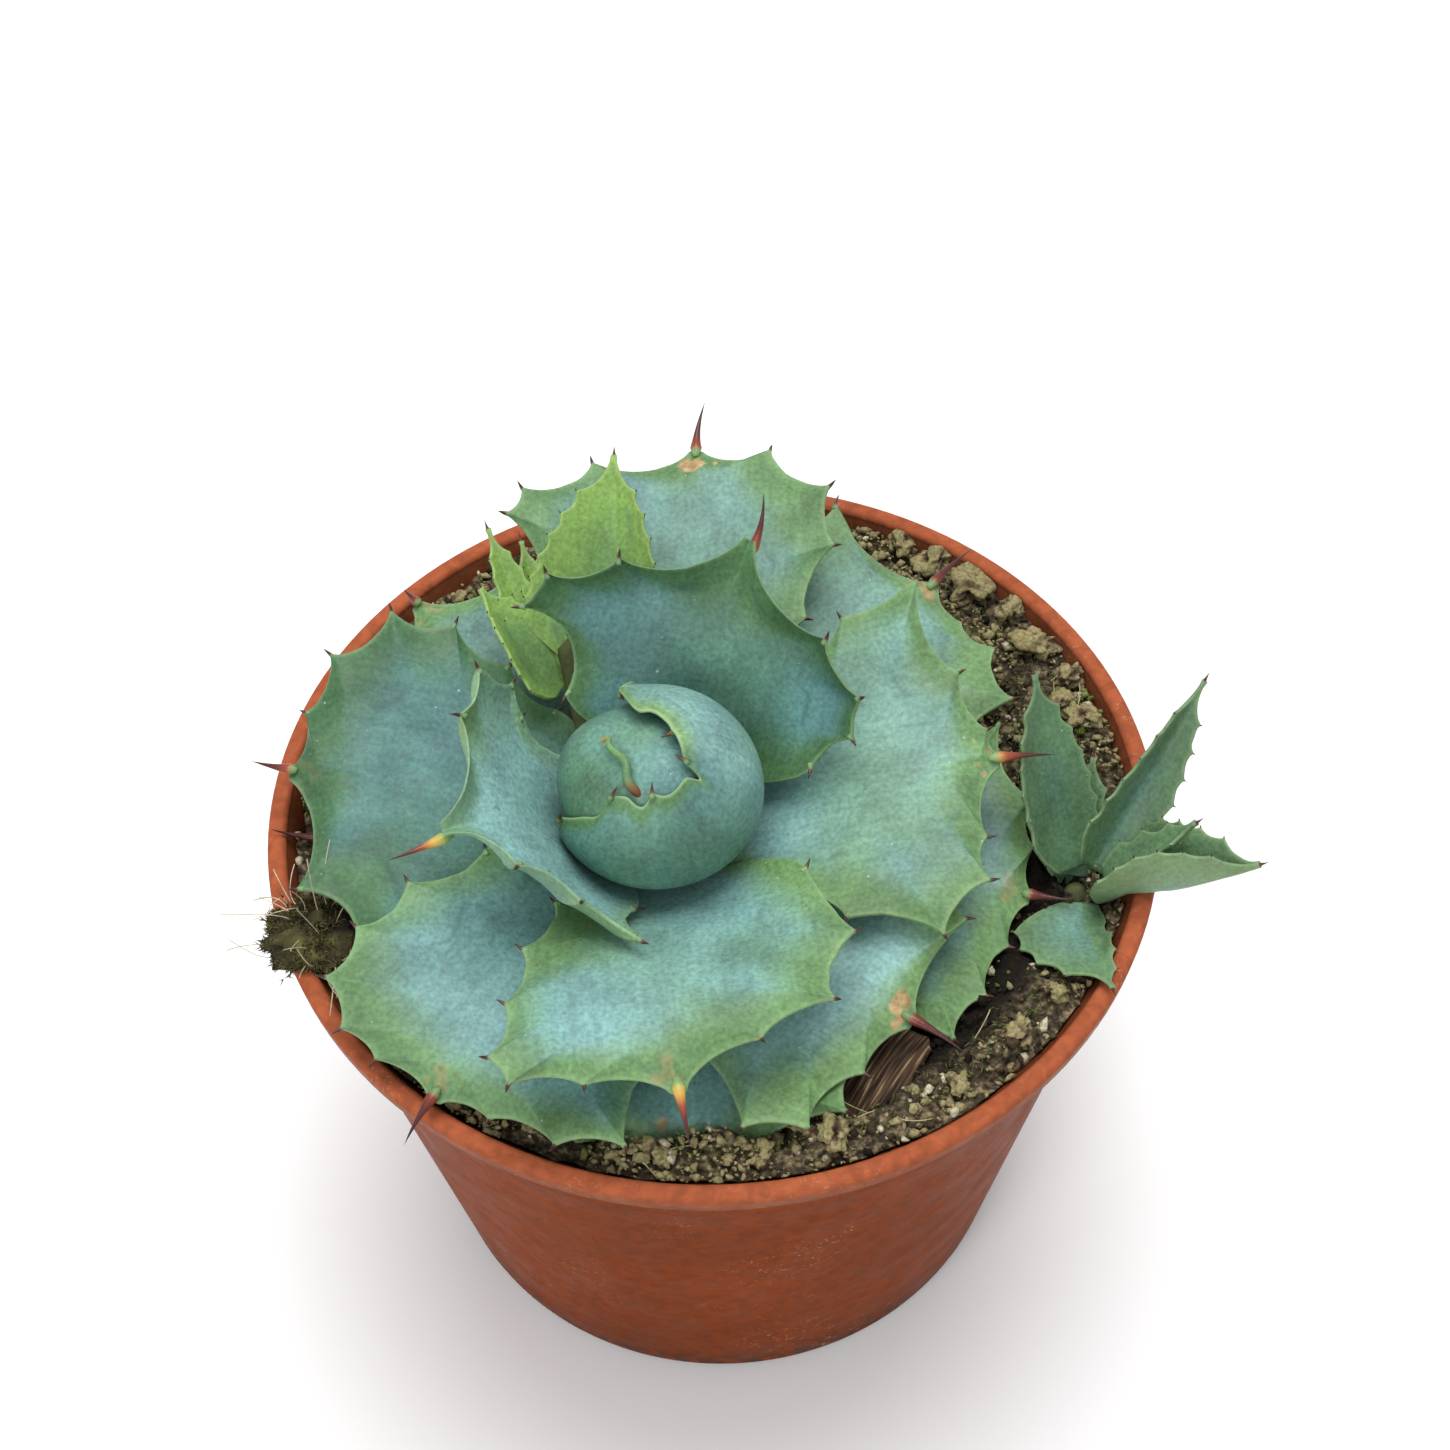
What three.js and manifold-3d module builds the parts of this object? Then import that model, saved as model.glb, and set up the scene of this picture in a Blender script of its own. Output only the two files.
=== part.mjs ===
import * as THREE from 'three';
import { mergeVertices } from 'three/addons/utils/BufferGeometryUtils.js';
import Module from 'manifold-3d';

// A butterfly agave in a round nursery pot. Millimetres, +Z up, origin at the middle of the pot's foot.

const DEG = Math.PI / 180;

// Pot: thin moulded wall, rolled lip, shallow collar, drain holes round the foot
const POT = {
  lipRadius: 60,
  height: 82,
  lipWidth: 3.4,
  lipDepth: 2.4,
  collarRadius: 56.2,
  collarDepth: 12,
  collarStep: 0.9,
  footRadius: 43.5,
  footRound: 2,
  wall: 1.5,
  floor: 2,
  sides: 44,
};
const DRAIN = { count: 6, radius: 3.5, ring: 33, sides: 10 };

// Growing mix: a lumpy top below the lip, raised under the tuft and level under the stone
const SOIL = { top: 75.3, lump: 1.5, wallGap: 0.4, rings: 11, spokes: 38, seed: 7, underLeaf: 1.1 };
const PALE_LUMPS = [
  { at: [36, 45], radius: 4.5, height: 3.4 },
  { at: [41, 36], radius: 3.5, height: 2.6 },
  { at: [47, 29], radius: 4.2, height: 3.2 },
  { at: [54, 14], radius: 3.2, height: 2.4 },
  { at: [37, -39], radius: 4, height: 2.6 },
  { at: [14, -52], radius: 3.5, height: 2 },
  { at: [-27, -48], radius: 3.5, height: 2 },
  { at: [-50, -20], radius: 7, height: 1.6 },
];

// A stone on the mix, and a tuft of moss that hangs over the lip
const STONE = { at: [25, -43.5], size: [3.4, 2.5, 1.8], turn: 25, seed: 5, lift: 0.9 };
const TUFT = {
  at: [-52.6, -19.8, 81.6], size: [6, 6, 3.4], turn: 20, seed: 11,
  blades: 14, bladeLength: 3.4, bladeRadius: 0.45,
};
const DRIED_LEAF = { at: [24.5, -34.5, 78.6], turn: -128, length: 15, width: 5.5, thick: 0.8 };

// Clearance between pieces that touch on the real plant, and in the crowded feet of the offsets
const GAP = 0.45;
const OFFSET_GAP = 0.6;

// Crowns: where each rosette's axis starts, and how far it leans, and toward which azimuth
const MAIN_CROWN = { at: [-7, -3, 72], lean: 10, toward: 270 };
const RIGHT_CROWN = { at: [48, -13, 76], lean: 12, toward: 0 };
const BACK_CROWN = { at: [-17.5, 12.5, 92], lean: 50, toward: 105 };

// Stems: lengths run along the crown's axis. The back offset grows from the main stem instead.
const MAIN_STEM = { foot: -20, top: 18, radius: 8.6 };
const OFFSET_STEM = { foot: -12, top: 3, radius: 1.8 };
const BACK_STEM = { foot: -17, top: 7, radius: 1.8 };

// Blade thickness at the margin, and the thickness added along the midrib at foot and tip
const EDGE = 0.8;
const MIDRIB = { foot: 2.0, tip: 1.5 };

// Teeth and spines: a thorn on each tooth of the main leaves, and one long spine on each tip
const THORN = { sunk: 0.9, proud: 0.8, halfBase: 0.65 };
const SPINE_HALF = 1.5;

// Margin: how deep the scallop between two teeth is, as a share of their distance
const SCALLOP = 0.16;

// Margin curl: how far the far margin bends down, and over what width
const CURL = { drop: 1.6, width: 7 };

// Leaves of the main rosette, youngest first. Azimuths run anticlockwise from +X in degrees.
// foot: height of the leaf's foot on the stem. rise: slope at foot, middle and tip.
// fold: curvature across the blade, 1/mm. left and right: teeth as [along, across].
const FOOT_RADIUS = 9;
const LEAVES = [
  {
    name: 'leaf_01', azimuth: 206, foot: 17.5, length: 28.8, rise: [46, 54, 2], neck: 7,
    fold: [0.06, 0.02, 0.05], roll: -8, swing: 0, spine: [7.5, 10, 0],
    left: [[5.5, 14], [12, 21.5], [17.5, 14.5], [23.5, 8.5]],
    right: [[1.5, 12], [10.5, 16], [12.5, 20], [20.5, 20.5], [23.5, 14.5]],
  },
  {
    name: 'leaf_02', azimuth: 67, foot: 16.4, length: 30.3, rise: [48, 44, 16], neck: 7.5,
    fold: [0.06, 0.02, 0.05], roll: 0, swing: -6, spine: [7, 45, 25],
    left: [[5, 17.5], [14.5, 26.5, 0.3], [19, 24.5], [23, 16]],
    right: [[6.5, 19], [12.5, 23.5], [18, 23.5], [23, 16.5]],
  },
  {
    name: 'leaf_03', azimuth: 270, foot: 15.3, length: 41, rise: [44, 29, -1], neck: 7.5,
    fold: [0.05, 0.012, 0.03], roll: 0, swing: 10, spine: [7.5, -15, 0],
    left: [[9, 19.5], [21.5, 24, 0.05], [33, 20], [36, 10.5]],
    right: [[9, 13.5], [18.5, 17], [27, 19], [35, 21.5], [38.5, 19.5], [38.5, 10.5]],
  },
  {
    name: 'leaf_04', azimuth: 4, foot: 14.2, length: 37.6, rise: [27, 15, -6], neck: 7.5,
    fold: [0.05, 0.012, 0.03], roll: 0, swing: 4, spine: [7.5, 0, -8],
    left: [[10, 17], [20, 23], [31, 25.5, 0.04], [34.5, 12.5], [37, 4.5]],
    right: [[8, 15.5], [15, 20.5], [26, 25], [32.5, 18], [33.5, 11]],
  },
  {
    name: 'leaf_05', azimuth: 235, foot: 13.1, length: 41.6, rise: [23, 13, -3], neck: 7.5,
    fold: [0.04, 0.012, 0.03], roll: 0, swing: 0, spine: [7, -10, 10],
    left: [[10, 15.5], [21, 20.5], [35.5, 25], [39, 16.5], [40, 7]],
    right: [[10, 15.5], [20, 20], [29, 21], [37, 19.5], [41, 14], [41.5, 8.5]],
  },
  {
    name: 'leaf_06', azimuth: 82, foot: 12, length: 47.4, rise: [19, 13, 1], neck: 7.5,
    fold: [0.04, 0.012, 0.03], roll: 0, swing: 6, spine: [7, 25, -20],
    left: [[14, 12], [24, 20.5], [34, 25.5], [38, 23.5], [44, 14]],
    right: [[12, 13.5], [22, 16.5], [32.5, 19.5], [40.5, 18.5], [47, 10]],
  },
  {
    name: 'leaf_07', azimuth: 311, foot: 10.9, length: 36.3, rise: [21, 13, -1], neck: 7.5,
    fold: [0.04, 0.012, 0.03], roll: 0, swing: 18, spine: [8.5, -10, -10],
    left: [[9, 15], [19, 20], [29, 20], [36, 14.5]],
    right: [[9, 15], [17, 19.5], [28.5, 25], [33.5, 20.5], [34.5, 9]],
  },
  {
    name: 'leaf_08', azimuth: 172, foot: 9.8, length: 41.8, rise: [20, 12, -2], neck: 7.5,
    fold: [0.04, 0.012, 0.03], roll: 0, swing: -4, spine: [5.5, 0, -8],
    left: [[7, 14], [14, 18.5], [22, 24.5], [27.5, 27.5], [36, 17.5, 0.3]],
    right: [[8, 15], [15.5, 20], [24, 24.5], [33, 24], [40, 16.5], [42, 8.5]],
  },
  {
    name: 'leaf_09', azimuth: 42, foot: 8.7, length: 46.6, rise: [9, 3, -9], neck: 7.5,
    fold: [0.03, 0.012, 0.03], roll: 0, swing: 10, spine: [8, 10, -15],
    left: [[12, 15], [24, 20.5], [36, 22], [46.5, 17.5]],
    right: [[12, 15], [25, 20], [36.5, 20.5], [42, 13], [43.5, 6.5]],
  },
  {
    name: 'leaf_10', azimuth: 268, foot: 7.6, length: 38.2, rise: [19, 13, 1], neck: 7.5,
    fold: [0.03, 0.012, 0.03], roll: 0, swing: 0, spine: [2.5, -10, 0],
    left: [[10, 15], [20, 20], [28, 24.5], [34.5, 24.5], [37.5, 13]],
    right: [[10, 15], [20, 20], [28, 21.5], [35, 16.5], [37, 9]],
  },
  {
    name: 'leaf_11', azimuth: 132, foot: 6.5, length: 42, rise: [10, 7, -3], neck: 7,
    fold: [0.03, 0.012, 0.03], roll: 0, swing: 0, spine: [3, 0, 0],
    left: [[10, 14], [20, 19], [30, 20], [36, 13]],
    right: [[10, 14], [20, 19], [30, 20], [36, 13]],
  },
  {
    name: 'leaf_12', azimuth: 348, foot: 5.4, length: 41.4, rise: [15, 9, -3], neck: 7.5,
    fold: [0.03, 0.012, 0.03], roll: 0, swing: 0, spine: [5.5, 15, 0],
    left: [[10, 15], [22, 22], [34, 24], [39.5, 13.5], [41, 7]],
    right: [[10, 15], [22, 22], [34.5, 24.5], [37.5, 16], [39.5, 7.5]],
  },
  {
    name: 'leaf_13', azimuth: 178, foot: 4.3, length: 37, rise: [15, 9, 2], neck: 7,
    fold: [0.03, 0.012, 0.03], roll: 0, swing: 0, spine: [7, 38, 0],
    left: [[10, 14], [20, 19], [29, 19], [34.5, 11]],
    right: [[10, 14], [20, 19], [29, 19], [34.5, 11]],
  },
];

// Leaves of the two offsets: narrow, channelled, finely toothed, without dark thorns.
// tilt: slope above the crown's base. fold: curvature across. twist: turn about the midrib.
// width: half the breadth.
const OFFSET_LEAF = { footRadius: 2.3, edge: 0.7, midrib: { foot: 0.8, tip: 0.6 }, spine: [1.2, 0, 0] };
const RIGHT_LEAVES = [
  {
    name: 'right_leaf_1', azimuth: 358, foot: 5.5, length: 16, tilt: 62,
    fold: 0.3, twist: 0, width: 3.4, teeth: 3,
  },
  {
    name: 'right_leaf_2', azimuth: 56, foot: 4.5, length: 29, tilt: 51,
    fold: 0.22, twist: 30, width: 5.2, teeth: 6,
  },
  {
    name: 'right_leaf_3', azimuth: 118, foot: 3.6, length: 27, tilt: 46,
    fold: 0.1, twist: 0, width: 6, teeth: 6,
  },
  {
    name: 'right_leaf_4', azimuth: 340, foot: 2.8, length: 24, tilt: 48,
    fold: 0.17, twist: 6, width: 9.5, teeth: 6,
  },
  {
    name: 'right_leaf_5', azimuth: 87, foot: 2, length: 16, tilt: 40,
    fold: 0.1, twist: 0, width: 4, teeth: 3,
  },
  {
    name: 'right_leaf_6', azimuth: 262, foot: 2.4, length: 21, tilt: 16,
    fold: -0.06, twist: 0, width: 9, teeth: 4,
  },
  {
    name: 'right_leaf_7', azimuth: 98, foot: 0.5, length: 31, tilt: 17,
    fold: 0.08, twist: 0, width: 4, teeth: 3,
  },
];
const BACK_LEAVES = [
  {
    name: 'back_leaf_1', azimuth: 22, foot: 2, length: 29.7, tilt: 72,
    fold: 0.11, twist: 66, width: 8, teeth: 7,
  },
  {
    name: 'back_leaf_2', azimuth: 172, foot: 2.6, length: 22, tilt: 78,
    fold: 0.16, twist: -60, width: 3.8, teeth: 6,
  },
  {
    name: 'back_leaf_3', azimuth: 196, foot: 0.5, length: 17.5, tilt: 66,
    fold: 0.12, twist: -50, width: 6.5, teeth: 6,
  },
  {
    name: 'back_leaf_4', azimuth: 146, foot: 5, length: 16.5, tilt: 85,
    fold: 0.25, twist: -30, width: 2.8, teeth: 4,
  },
  {
    name: 'back_leaf_5', azimuth: 105, foot: 7.6, length: 10.8, tilt: 88,
    fold: 0.2, twist: 0, width: 2.2, teeth: 3,
  },
];

// Bud: an inner roll with a curled spine, and a hood leaf wrapped round it. Angles are measured at
// its middle: azimuth round the crown's axis, and polar angle down from that axis.
const BUD = { middle: [0, -1.6, 25.7], radius: 13.8, inner: 11.9, base: 120, waist: 3.5 };
const HOOD = { from: 192, to: 452, thick: [1.45, 0.9], thorn: 1.1, rows: 6 };
// The hood's margin from its left hook, over the front lobe, the notched apex and the back lobe
const HOOD_MARGIN = [
  { azimuth: 200, polar: 104 }, { azimuth: 201, polar: 80, sharp: true }, { azimuth: 215, polar: 62 },
  { azimuth: 226, polar: 52 }, { azimuth: 229, polar: 37, sharp: true }, { azimuth: 242, polar: 34 },
  { azimuth: 258, polar: 37 }, { azimuth: 268, polar: 29, sharp: true }, { azimuth: 286, polar: 31 },
  { azimuth: 312, polar: 27 }, { azimuth: 324, polar: 33 }, { azimuth: 328, polar: 20, sharp: true },
  { azimuth: 350, polar: 14 }, { azimuth: 388, polar: 11, sharp: true }, { azimuth: 423, polar: 13 },
  { azimuth: 452, polar: 17 }, { azimuth: 474, polar: 21 }, { azimuth: 475, polar: 46, sharp: true },
  { azimuth: 463, polar: 62 }, { azimuth: 456, polar: 90 },
];
const INNER_BULGE = { azimuth: 158, half: 44, height: 1.3 };
const CURLED_SPINE = {
  points: [[-1.6, -7.2, 35.2], [-2.4, -5.6, 36.6], [-4.2, -3, 37.3], [-5.2, -0.9, 37.7], [-6.2, 0.4, 37]],
  radius: [1.1, 0.5], steps: 8, sides: 7,
};

// Colours taken by eye: glaucous blue-green blades, fresher green offsets, rust-brown pot
const COLOUR = {
  leaf: 0x7ba596, young: 0x8fb47e, bud: 0x86ae9f, stem: 0xb9c28c, pot: 0xa5542f,
  soil: 0x5c4f36, moss: 0x6b7040, stone: 0x8b8780, dried: 0x8a6a48,
};

const wasm = await Module();
wasm.setup();

function matte(colour, roughness) {
  return new THREE.MeshStandardMaterial({ color: colour, roughness, metalness: 0 });
}

// Value at x (0 to 1) of the parabola through three knots at 0, 1/2 and 1
function throughKnots([a, b, c], x) {
  return a + (-3 * a + 4 * b - c) * x + (2 * a - 4 * b + 2 * c) * x * x;
}

function clamp01(x) {
  return Math.min(1, Math.max(0, x));
}

function mix(a, b, share) {
  return a + (b - a) * share;
}

// Small seeded generator, so every build gives the same lumps
function seededRandom(seed) {
  let state = seed >>> 0;
  return () => {
    state = (Math.imul(state, 1664525) + 1013904223) >>> 0;
    return state / 4294967296;
  };
}

function geometryFrom(positions, index) {
  const geometry = new THREE.BufferGeometry();
  geometry.setAttribute('position', new THREE.Float32BufferAttribute(positions, 3));
  geometry.setIndex(index);
  return geometry;
}

// Shared vertices only, so that neighbouring faces meet
const WELD = 1e-3;
function welded(geometry) {
  const bare = geometry.clone();
  bare.deleteAttribute('normal');
  bare.deleteAttribute('uv');
  return mergeVertices(bare, WELD);
}

function toSolid(geometry) {
  const closed = welded(geometry);
  return new wasm.Manifold(new wasm.Mesh({
    numProp: 3,
    vertProperties: new Float32Array(closed.attributes.position.array),
    triVerts: new Uint32Array(closed.index.array),
  }));
}

function fromSolid(solid) {
  const { vertProperties, triVerts } = solid.getMesh();
  return geometryFrom(Array.from(vertProperties), Array.from(triVerts));
}

// The largest of the bodies that a cut leaves
function largestBody(solid) {
  return solid.decompose().reduce((best, body) => (body.volume() > best.volume() ? body : best));
}

// The same surface moved out along its vertex normals
function inflated(geometry, amount) {
  const grown = welded(geometry);
  grown.computeVertexNormals();
  const { position, normal } = grown.attributes;
  for (let i = 0; i < position.count; i++) {
    position.setXYZ(
      i,
      position.getX(i) + normal.getX(i) * amount,
      position.getY(i) + normal.getY(i) * amount,
      position.getZ(i) + normal.getZ(i) * amount,
    );
  }
  return grown;
}

// The blade's surface in the leaf's own frame: +X outward from the crown's axis, +Z along it.
// It is swept along the midrib (distance s) and bent across it (distance t).
class BladeSurface {
  constructor({ footRadius, foot, length, rise, fold, twist = 0, roll, swing, spine }) {
    Object.assign(this, { length, rise, fold, twist, roll, swing });
    [this.spineLength, this.spineLift, this.spineTurn] = spine;
    this.steps = 48;
    this.reach = length + this.spineLength;
    this.midrib = [new THREE.Vector3(footRadius, 0, foot)];
    const stride = this.reach / this.steps;
    for (let i = 0; i < this.steps; i++) {
      const step = this.tangent((i + 0.5) * stride).multiplyScalar(stride);
      this.midrib.push(this.midrib[i].clone().add(step));
    }
  }

  tangent(s) {
    const x = clamp01(s / this.length);
    const beyond = clamp01((s - this.length) / this.spineLength);
    const slope = (throughKnots(this.rise, x) + this.spineLift * beyond) * DEG;
    const yaw = (this.swing * x * x + this.spineTurn * beyond) * DEG;
    return new THREE.Vector3(
      Math.cos(slope) * Math.cos(yaw), Math.cos(slope) * Math.sin(yaw), Math.sin(slope));
  }

  midpoint(s) {
    const place = clamp01(s / this.reach) * this.steps;
    const i = Math.min(this.steps - 1, Math.floor(place));
    return this.midrib[i].clone().lerp(this.midrib[i + 1], place - i);
  }

  // Point and upward normal of the top face
  at(s, t) {
    const along = this.tangent(s);
    const level = new THREE.Vector3(-along.y, along.x, 0).normalize();
    const up = new THREE.Vector3().crossVectors(along, level);
    const x = clamp01(s / this.length);
    const turn = (this.twist + this.roll * x) * DEG;
    const side = level.clone().multiplyScalar(Math.cos(turn)).addScaledVector(up, Math.sin(turn));
    const lift = up.multiplyScalar(Math.cos(turn)).addScaledVector(level, -Math.sin(turn));
    const bend = throughKnots(this.fold, x);
    const point = this.midpoint(s)
      .addScaledVector(side, Math.sin(bend * t) / bend)
      .addScaledVector(lift, (1 - Math.cos(bend * t)) / bend);
    const normal = lift.multiplyScalar(Math.cos(bend * t)).addScaledVector(side, -Math.sin(bend * t));
    return { point, normal };
  }
}

// One side of the margin as [along, across] points from the foot to the spine's root.
// Each tooth ends in a thorn, and a scallop sinks between two teeth.
function marginPoints(teeth, { length, neck, thorn, tipHalf }) {
  const knots = [[0, neck], ...teeth, [length, tipHalf]];
  const points = [{ s: 0, t: neck, key: true }];
  for (let i = 1; i < knots.length; i++) {
    const here = new THREE.Vector2(knots[i][0], knots[i][1]);
    const before = new THREE.Vector2(knots[i - 1][0], knots[i - 1][1]);
    const depth = knots[i][2] ?? SCALLOP;
    const step = here.clone().sub(before);
    for (const share of [0.3, 0.7]) {
      const sag = 4 * share * (1 - share) * depth;
      points.push({
        s: before.x + step.x * share + step.y * sag * 0.9,
        t: before.y + step.y * share - (Math.abs(step.x) * 0.9 + Math.abs(step.y) * 0.25) * sag,
      });
    }
    if (i === knots.length - 1) {
      points.push({ s: here.x, t: here.y, key: true });
      continue;
    }
    const after = new THREE.Vector2(knots[i + 1][0], knots[i + 1][1]);
    const chord = after.clone().sub(before).normalize();
    const aside = new THREE.Vector2(-chord.y, chord.x);
    const out = step.clone().normalize().sub(after.clone().sub(here).normalize());
    if (out.length() < 0.3) out.copy(aside);
    out.normalize();
    if (out.dot(aside) < 0) out.negate();
    const root = chord.multiplyScalar(thorn.halfBase);
    const heel = here.clone().addScaledVector(out, -thorn.sunk);
    const point = here.clone().addScaledVector(out, thorn.proud);
    points.push({ s: heel.x - root.x, t: heel.y - root.y });
    points.push({ s: point.x, t: point.y, key: true, sharp: true });
    points.push({ s: heel.x + root.x, t: heel.y + root.y });
  }
  return points;
}

// Triangles between two rows of points, always across the shorter diagonal
function zip(inner, outer, emit) {
  const span = (a, b) => Math.hypot(a.s - b.s, a.t - b.t);
  let [i, j] = [0, 0];
  while (i < inner.length - 1 || j < outer.length - 1) {
    const canInner = i < inner.length - 1;
    const canOuter = j < outer.length - 1;
    const nearer = canInner && canOuter && span(inner[i + 1], outer[j]) <= span(inner[i], outer[j + 1]);
    if (nearer || !canOuter) {
      emit(inner[i], inner[i + 1], outer[j]);
      i++;
    } else {
      emit(inner[i], outer[j + 1], outer[j]);
      j++;
    }
  }
}

// A closed blade: top and bottom faces split into triangles alike, a rim, a foot face and the spine.
// userData keeps the pairs of top and bottom vertices, and the top faces by pair, for pressUnder.
const RIB_STEPS = 9;
const INNER_ROWS = [0.45, 0.82];
function bladeGeometry(leaf) {
  const surface = new BladeSurface(leaf);
  const { length, edge, midrib, curl, thorn, spineHalf } = leaf;
  const positions = [];
  const index = [];
  const pairs = [];
  const topFaces = [];

  function addVertex(point) {
    positions.push(point.x, point.y, point.z);
    return positions.length / 3 - 1;
  }

  // Top and bottom vertices at (s, t). share is 0 on the midrib and 1 at the margin.
  function addPair(s, t, share, toEdge, sharp) {
    const { point, normal } = surface.at(s, t);
    const x = clamp01(s / length);
    const curled = curl.drop * clamp01((x - 0.3) / 0.4) * clamp01(1 - toEdge / curl.width) ** 2;
    point.addScaledVector(normal, -curled);
    const depth = edge + mix(midrib.foot, midrib.tip, x) * (1 - share * share);
    const under = point.clone().addScaledVector(normal, sharp ? -depth / 2 : -depth);
    const bottom = addVertex(under);
    const top = sharp ? bottom : addVertex(point);
    pairs.push([top, bottom]);
    return { s, t, top, bottom, pair: pairs.length - 1 };
  }

  function face(a, b, c) {
    if (a !== b && b !== c && c !== a) index.push(a, b, c);
  }

  const rib = [];
  for (let i = 0; i <= RIB_STEPS; i++) {
    rib.push(addPair((length * i) / RIB_STEPS, 0, 0, Infinity, false));
  }
  const ends = [];
  for (const [sign, teeth] of [[1, leaf.left], [-1, leaf.right]]) {
    const rows = INNER_ROWS.map(() => []);
    const rim = [];
    const margin = marginPoints(teeth, { length, neck: leaf.neck, thorn, tipHalf: spineHalf });
    for (const { s, t, key, sharp } of margin) {
      const start = Math.max(0, s - 0.6 * t * clamp01(s / length));
      if (key && s !== length) {
        INNER_ROWS.forEach((share, row) => {
          const toEdge = Math.hypot(s - start, t) * (1 - share);
          rows[row].push(addPair(mix(start, s, share), sign * t * share, share, toEdge, false));
        });
      }
      rim.push(addPair(s, sign * t, 1, 0, sharp));
    }
    const end = rim[rim.length - 1];
    rows.forEach((row) => row.push(end));
    ends.push(end);

    const columns = [rib, ...rows, rim];
    const emit = (a, b, c) => {
      const [p, q, r] = sign > 0 ? [a, b, c] : [c, b, a];
      face(p.top, q.top, r.top);
      face(r.bottom, q.bottom, p.bottom);
      topFaces.push([a.pair, b.pair, c.pair]);
    };
    const wall = (a, b) => {
      const [p, q] = sign > 0 ? [a, b] : [b, a];
      face(p.top, q.top, p.bottom);
      face(q.top, q.bottom, p.bottom);
    };
    for (let c = 0; c < columns.length - 1; c++) {
      zip(columns[c], columns[c + 1], emit);
      wall(columns[c][0], columns[c + 1][0]);
    }
    for (let i = 0; i < rim.length - 1; i++) wall(rim[i], rim[i + 1]);
  }

  // The terminal spine: six-sided rings that shrink to a point
  const root = rib[RIB_STEPS];
  let ring = [ends[0].top, root.top, ends[1].top, ends[1].bottom, root.bottom, ends[0].bottom];
  const angles = [150, 90, 30, -30, -90, -150];
  const halfDepth = (edge + midrib.tip) / 2;
  for (const [share, taper] of [[0.35, 0.62], [0.72, 0.32]]) {
    const s = length + surface.spineLength * share;
    const { point, normal } = surface.at(s, 0);
    const aside = new THREE.Vector3().crossVectors(normal, surface.tangent(s)).normalize();
    const middle = point.clone().addScaledVector(normal, -halfDepth);
    const next = angles.map((angle) => addVertex(middle.clone()
      .addScaledVector(aside, -Math.cos(angle * DEG) * spineHalf * taper)
      .addScaledVector(normal, Math.sin(angle * DEG) * spineHalf * taper)));
    ring.forEach((from, k) => {
      const beside = (k + 1) % ring.length;
      face(from, ring[beside], next[beside]);
      face(from, next[beside], next[k]);
    });
    ring = next;
  }
  const last = surface.at(surface.reach, 0);
  const tip = addVertex(last.point.addScaledVector(last.normal, -halfDepth));
  ring.forEach((from, k) => face(from, ring[(k + 1) % ring.length], tip));

  const geometry = geometryFrom(positions, index);
  geometry.userData = { pairs, topFaces };
  return geometry;
}

function mainLeaf(spec) {
  return bladeGeometry({
    ...spec, footRadius: FOOT_RADIUS, edge: EDGE, midrib: MIDRIB,
    curl: CURL, thorn: THORN, spineHalf: SPINE_HALF,
  });
}

// Outline of an offset's leaf: widest below the middle, with evenly spaced small teeth
function offsetLeaf({ foot, length, tilt, fold, twist, width, teeth }) {
  const side = [];
  for (let i = 0; i < teeth; i++) {
    const x = 0.12 + (0.76 * (i + 0.5)) / teeth;
    side.push([length * x, width * Math.sin(Math.PI * (0.28 + 0.72 * x)) ** 0.8]);
  }
  return bladeGeometry({
    ...OFFSET_LEAF, foot, length, rise: [tilt - 12, tilt, tilt + 4], fold: [fold, fold * 0.8, fold * 1.2],
    twist, roll: 0, swing: 0, neck: Math.min(2.2, width * 0.45), left: side, right: side,
    curl: { drop: 0, width: 1 }, thorn: { sunk: 0.2, proud: 0.6, halfBase: 0.5 }, spineHalf: 0.6,
  });
}

// The dried leaf: a small shrivelled blade that lies on the mix
function driedLeaf({ length, width, thick }) {
  const side = [[length * 0.25, width * 0.8], [length * 0.5, width], [length * 0.8, width * 0.6]];
  return bladeGeometry({
    footRadius: 0, foot: 0, length, rise: [16, -14, 22], fold: [0.16, 0.05, 0.22], roll: 14, swing: 12,
    spine: [1.5, 0, 20], neck: width * 0.5, left: side, right: side,
    edge: thick, midrib: { foot: 0.6, tip: 0.3 },
    curl: { drop: 0, width: 1 }, thorn: { sunk: 0.2, proud: 0.6, halfBase: 0.5 }, spineHalf: 0.6,
  });
}

function lathe(outline, sides) {
  const geometry = new THREE.LatheGeometry(outline.map(([r, z]) => new THREE.Vector2(r, z)), sides);
  return geometry.rotateX(Math.PI / 2);
}

function potOutline() {
  const { lipRadius, height, lipWidth, lipDepth, collarRadius, collarDepth, collarStep } = POT;
  const { footRadius, footRound, wall, floor } = POT;
  const collarFoot = height - collarDepth;
  const round = lipDepth / 3;
  return [
    [0, 0], [footRadius - footRound, 0],
    [footRadius - footRound * 0.3, footRound * 0.3], [footRadius, footRound],
    [collarRadius - collarStep, collarFoot], [collarRadius, collarFoot + collarStep],
    [collarRadius + 0.6, height - lipDepth], [lipRadius - round, height - lipDepth],
    [lipRadius, height - lipDepth + round], [lipRadius, height - round], [lipRadius - round, height],
    [lipRadius - lipWidth + round, height], [lipRadius - lipWidth, height - round],
    [collarRadius + 0.6 - wall, height - lipDepth], [collarRadius - wall, collarFoot + collarStep],
    [collarRadius - collarStep - wall, collarFoot], [footRadius - wall, floor], [0, floor],
  ];
}

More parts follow.
